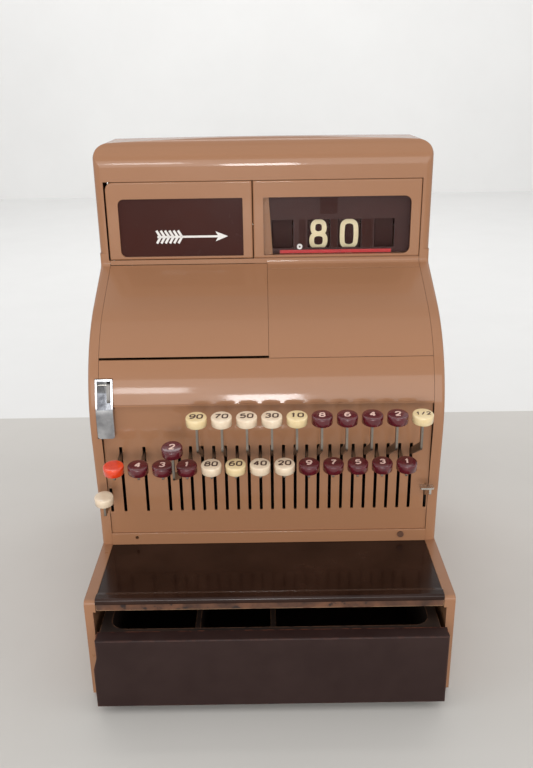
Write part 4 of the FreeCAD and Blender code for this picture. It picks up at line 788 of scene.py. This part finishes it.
@dataclass
class Indicator:
    """The number wheels and the mask in front of them."""

    axis: Flat = (0.0905, 0.391)
    radius: float = 0.056
    figure_height: float = 0.031
    figure_width: float = 0.0185
    figure_middle: Flat = (0.0, -0.0023)
    figure_gap: float = 0.0004
    fraction_share: float = 0.36
    stroke: float = 0.0048
    step: float = 36.0
    mask_front: float = 0.031
    wheels: Dict[str, Tuple[float, Dict[int, str]]] = field(default_factory=lambda: {
        "wheel_pounds": (0.0185, {place: str(place) for place in (1, 2, 3, 4)}),
        "wheel_tens": (0.055, {place: str((place + 8) % 10) for place in range(10)}),
        "wheel_units": (0.086, {place: str(place) for place in range(10)}),
        "wheel_half": (0.121, {1: "1/2"}),
    })

    # The first three rows are dark strips of painted shade over the gaps between the wheels; the last is a
    # patch on the upper bar.
    LABELS: ClassVar[Tuple[Tuple[str, float, float, float, float], ...]] = (
        ("mask_gap_shade_left", 0.0350, 0.0415, 0.376, 0.4045),
        ("mask_gap_shade_units", 0.0672, 0.0738, 0.376, 0.4045),
        ("mask_gap_shade_half", 0.0985, 0.1095, 0.376, 0.4045),
        ("mask_patch", 0.0560, 0.0735, 0.410, 0.426),
    )

    def build(self) -> None:
        """Makes the figures of the wheels, the marks of the mask and the dark strips of painted shade between
        the wheels.
        """
        for node, (across, figures) in self.wheels.items():
            self.print_wheel(node, across, figures)
        self.make_red_strip()
        self.make_point()
        self.make_mask_labels()

    def print_wheel(self, node: str, across: float, figures: Dict[int, str]) -> None:
        """Prints the figures round a wheel.

        Args:
            node: The wheel's node and body.
            across: Its middle along X.
            figures: The figures by their place round the wheel, with place 0 in the window.
        """
        build = bmesh.new()
        for place, text in figures.items():
            def lift(x: float, y: float, out: float, turn: float = math.radians(self.step * place)) -> Vector:
                """Bends a point of the drawing round the wheel.

                Args:
                    x: Across.
                    y: Up the drawing.
                    out: Above the rim.
                    turn: The figure's place round the wheel.

                Returns:
                    The place in the row frame.
                """
                angle = turn + y / self.radius
                reach = self.radius + out + HAIR / 2
                return Vector((across + x, self.axis[0] - reach * math.cos(angle),
                               self.axis[1] + reach * math.sin(angle)))

            share = self.fraction_share if len(text) > 1 else 1.0
            Numerals.draw(build, text, self.figure_middle, self.figure_width * share,
                          self.figure_height * max(share, 0.5), self.stroke * max(share, 0.4),
                          self.figure_gap, 0.0, lift, HAIR)
        Workshop.piece(f"{node}_figures", build, node, WHEEL_NUMERAL, slot="wheel_black")

    def front_seat(self, across: float, up: float, proud: float) -> Matrix:
        """A plane on the mask, looking forward.

        Args:
            across: Place along X.
            up: Height.
            proud: How far in front of the mask the plane lies.

        Returns:
            The matrix from the drawing to the row frame, with its third axis towards the mask.
        """
        turn = Matrix(((1, 0, 0, 0), (0, 0, 1, 0), (0, 1, 0, 0), (0, 0, 0, 1)))
        return Matrix.Translation((across, self.mask_front - proud, up)) @ turn

    def make_red_strip(self) -> None:
        """The red strip along the lower edge of the mask."""
        build = bmesh.new()
        outline = [(0.0156, 0.3708), (0.1286, 0.3708), (0.1286, 0.3741), (0.0156, 0.3741)]
        Workshop.plate(build, outline, self.front_seat(0, 0, 0.0009), 0.0008)
        Workshop.piece("mask_red_strip", build, "housing", STRIP_RED, slot="mask_paint")

    def make_point(self) -> None:
        """The white point between two wheels, with its dark middle."""
        for name, radius, proud, finish in (("mask_point", 0.0028, 0.0010, MARK_WHITE),
                                            ("mask_point_middle", 0.0009, 0.0013, MASK_PAINT)):
            build = bmesh.new()
            outline = [(radius * math.cos(a), radius * math.sin(a))
                       for a in (2 * math.pi * side / 24 for side in range(24))]
            Workshop.plate(build, outline, self.front_seat(0.0357, 0.3775, proud), proud - 0.0001)
            Workshop.piece(name, build, "housing", finish, slot="mask_paint")

    def make_mask_labels(self) -> None:
        """Dark strips of painted shade over the gaps between the wheels, and a patch on the upper bar."""
        # Each strip is a dark sheet in the panel's paint that stands in for the shade in a gap between two
        # wheels.
        for name, left, right, low, high in self.LABELS:
            build = bmesh.new()
            outline = [(left, low), (right, low), (right, high), (left, high)]
            Workshop.plate(build, outline, self.front_seat(0, 0, 0.0004), 0.0003)
            Workshop.piece(name, build, "housing", PANEL_PAINT, slot="mask_paint")


@dataclass
class ArrowPanel:
    """The feathered arrow on the dark panel behind the left window."""

    front: float = 0.0244
    tail: float = -0.1103
    tip: float = -0.0363
    height: float = 0.3903
    barbs: int = 6
    barb_rise: float = 0.0064
    barb_lean_share: float = 0.6
    barb_gap: float = 0.0043
    shaft_width: float = 0.0021
    barb_width: float = 0.0023
    head_length: float = 0.0125
    head_half: float = 0.0050

    def lift(self, x: float, y: float, out: float) -> Vector:
        """Places a point of the drawing on the panel.

        Args:
            x: Across.
            y: Height.
            out: In front of the panel.

        Returns:
            The place in the row frame.
        """
        return Vector((x, self.front - out - HAIR / 2, y))

    def build(self) -> None:
        """Makes the arrow."""
        build = bmesh.new()
        proud = HAIR * 2
        neck = self.tip - self.head_length * 0.8
        Workshop.ribbon(build, [(self.tail + self.barb_rise / 2, self.height), (neck, self.height)],
                        self.shaft_width, self.lift, proud)
        head = [(self.tip, 0.0), (self.tip - self.head_length, self.head_half),
                (neck, self.shaft_width / 3), (neck, -self.shaft_width / 3),
                (self.tip - self.head_length, -self.head_half)]
        face = self.front - proud - HAIR / 2
        seat = Matrix(((1, 0, 0, 0), (0, 0, 1, face), (0, 1, 0, self.height), (0, 0, 0, 1)))
        Workshop.plate(build, head, seat, proud)
        for number in range(self.barbs):
            root = self.tail + self.barb_rise + number * self.barb_gap
            for side in (-1, 1):
                end = (root - self.barb_rise * self.barb_lean_share, self.height + side * self.barb_rise)
                line = [(root, self.height), end]
                Workshop.ribbon(build, line, self.barb_width, self.lift, proud * (1.2 + 0.1 * number))
        Workshop.piece("panel_arrow", build, "display_door", ARROW_WHITE, slot="maroon_panel")


class Cabinet:
    """The painted housing, the drawer and the mechanism, which keep their own solids."""

    FINISHES: Dict[str, Finish] = {
        "cabinet_casing": CASING_PAINT, "cabinet_floor": DARK_STEEL, "rubber_feet": RUBBER,
        "deck_board": DECK_LACQUER, "deck_strip": WORN_WOOD, "drawer_front": DRAWER_LACQUER,
        "drawer_tray": DRAWER_WOOD, "drawer_dividers": DRAWER_WOOD, "left_side_cover": TAN_PAINT,
        "right_side_cover": TAN_PAINT, "printer_lid": TAN_PAINT, "front_slope_panel": TAN_PAINT,
        "front_cover": TAN_PAINT, "key_plate": TAN_PAINT, "lower_rail": TAN_PAINT, "rear_cover": TAN_PAINT,
        "cover_screws": SCREW_PAINT, "hood": TAN_PAINT, "display_door": TAN_PAINT, "arrow_panel": PANEL_PAINT,
        "indicator_frame": TAN_PAINT, "indicator_glass": GLASS, "indicator_mask": MASK_PAINT,
        "mechanism_chassis": DARK_STEEL, "key_shaft": BRIGHT_STEEL, "indicator_shaft": BRIGHT_STEEL,
        "ticket_roll": PAPER, "hinge_pins": BRIGHT_STEEL, "catch_plate": CHROME, "catch_lever": DARK_STEEL,
        "right_short_key": BRIGHT_STEEL, "wheel_pounds": WHEEL_PAINT, "wheel_tens": WHEEL_PAINT,
        "wheel_units": WHEEL_PAINT, "wheel_half": WHEEL_PAINT,
    }
    SMOOTH_ANGLE = 32.0

    def build(self) -> None:
        """Gives every node that stays its finish and its shading."""
        for node, finish in self.FINISHES.items():
            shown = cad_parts[node]
            shown.data.materials.clear()
            shown.data.materials.append(PAINT.material(finish))
            for polygon in shown.data.polygons:
                polygon.use_smooth = True
            shown.data.set_sharp_from_angle(angle=math.radians(self.SMOOTH_ANGLE))
            log.info("%s is finished as %s", node, finish.name)


@dataclass
class Studio:
    """The pale floor, the backdrop, the lamps and the camera."""

    pitch: float = 20.98
    roll: float = -0.0148
    eye: Point = (0.0, -0.7774, 0.5384)
    lens: float = 37.5
    floor_colour: Colour = (0.60, 0.577, 0.545)
    wall_colour: Colour = (0.78, 0.775, 0.765)
    floor_half: float = 3.2
    far_floor: float = 0.48

    def build(self) -> None:
        """Makes the studio."""
        self.make_floor()
        self.make_lamps()
        self.make_world()
        self.make_camera()
        bpy.context.scene.view_settings.view_transform = "Standard"

    def sheet(self, name: str, corners: Iterable[Point], colour: Colour, shade: Colour) -> None:
        """One plain surface of the studio.

        Args:
            name: Its name.
            corners: Its four corners.
            colour: Its colour.
            shade: The colour of its soft mottling.
        """
        mesh = bpy.data.meshes.new(name)
        mesh.from_pydata([tuple(corner) for corner in corners], [], [(0, 1, 2, 3)])
        surface = bpy.data.objects.new(name, mesh)
        bpy.context.scene.collection.objects.link(surface)
        finish = Finish(name, colour, shade, roughness=0.75, mottle=0.5, mottle_scale=3, grain_scale=200)
        mesh.materials.append(PAINT.material(finish))

    def make_floor(self) -> None:
        """The floor, its paler far part, and the wall that ends it well behind the register."""
        half, far = self.floor_half, self.far_floor
        self.sheet("studio_floor", [(-half, -half, 0), (half, -half, 0), (half, far, 0), (-half, far, 0)],
                   self.floor_colour, (0.55, 0.53, 0.50))
        self.sheet("studio_far_floor", [(-half, far, 0), (half, far, 0), (half, half, 0), (-half, half, 0)],
                   self.wall_colour, (0.74, 0.735, 0.725))
        self.sheet("studio_wall",
                   [(-half, half, 0), (half, half, 0), (half, half, half), (-half, half, half)],
                   self.wall_colour, (0.74, 0.735, 0.725))

    @staticmethod
    def lamp(name: str, place: Point, aim: Point, size: Flat, watts: float, colour: Colour) -> None:
        """One soft lamp.

        Args:
            name: Its name.
            place: Where it stands.
            aim: What it points at.
            size: Width and height of its face.
            watts: Its power.
            colour: Its colour.
        """
        data = bpy.data.lights.new(name, "AREA")
        data.shape = "RECTANGLE"
        data.size, data.size_y = size
        data.energy = watts
        data.color = colour
        lamp = bpy.data.objects.new(name, data)
        lamp.location = place
        lamp.rotation_euler = (Vector(aim) - Vector(place)).to_track_quat("-Z", "Y").to_euler()
        bpy.context.scene.collection.objects.link(lamp)

    def make_lamps(self) -> None:
        """Ceiling and wall lamps, a broad soft lamp behind the camera, two small windows and soft sides."""
        self.lamp("lamp_ceiling", (0.0, -0.9, 2.2), (0, 0, 0.2), (2.4, 1.6), 5, (1.0, 0.985, 0.96))
        self.lamp("lamp_front", (0.0, -2.7, 0.85), (0, 0, 0.2), (2.4, 1.3), 24, (1.0, 0.99, 0.97))
        self.lamp("lamp_window", (-0.013, -3.0, 0.52), (0, 0, 0.3), (0.34, 0.45), 15, (1.0, 1.0, 1.0))
        self.lamp("lamp_far_window", (-0.55, -3.0, 1.04), (0, 0, 0.3), (0.36, 0.30), 5, (1.0, 1.0, 1.0))
        self.lamp("lamp_wall", (0.0, 1.2, 2.4), (0, 3.0, 0.4), (3.0, 1.0), 34, (1.0, 1.0, 1.0))
        self.lamp("lamp_left", (-1.9, -0.9, 1.0), (0, 0, 0.25), (1.2, 1.6), 7, (0.96, 0.98, 1.0))
        self.lamp("lamp_right", (1.9, -0.7, 1.0), (0, 0, 0.25), (1.2, 1.6), 6, (1.0, 0.98, 0.95))

    @staticmethod
    def make_world() -> None:
        """Even light from all round."""
        world = bpy.data.worlds.new("studio_air")
        bpy.context.scene.world = world
        world.use_nodes = True
        background = next(n for n in world.node_tree.nodes if n.type == "BACKGROUND")
        background.inputs["Color"].default_value = (0.95, 0.955, 0.96, 1)
        background.inputs["Strength"].default_value = 0.66

    def make_camera(self) -> None:
        """The camera at the photograph's place and angle."""
        data = bpy.data.cameras.new("register_camera")
        data.lens = self.lens
        data.sensor_width = 36
        camera = bpy.data.objects.new("register_camera", data)
        tilt = Matrix.Rotation(math.radians(90 - self.pitch), 4, "X")
        camera.matrix_world = Matrix.Translation(self.eye) @ tilt @ Matrix.Rotation(self.roll, 4, "Z")
        bpy.context.scene.collection.objects.link(camera)
        bpy.context.scene.camera = camera


def corners(box: Tuple[Vector, Vector]) -> List[List[float]]:
    """A box as plain lists of numbers.

    Args:
        box: Its lowest and highest corner.

    Returns:
        The two corners.
    """
    return [list(box[0]), list(box[1])]


def main() -> None:
    """Dresses the register and sets up the studio."""
    logging.basicConfig(level=logging.INFO)
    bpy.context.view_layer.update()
    for assembly in (Cabinet(), Keyboard(), Indicator(), ArrowPanel(), Studio()):
        assembly.build()


if __name__ == "__main__":
    main()
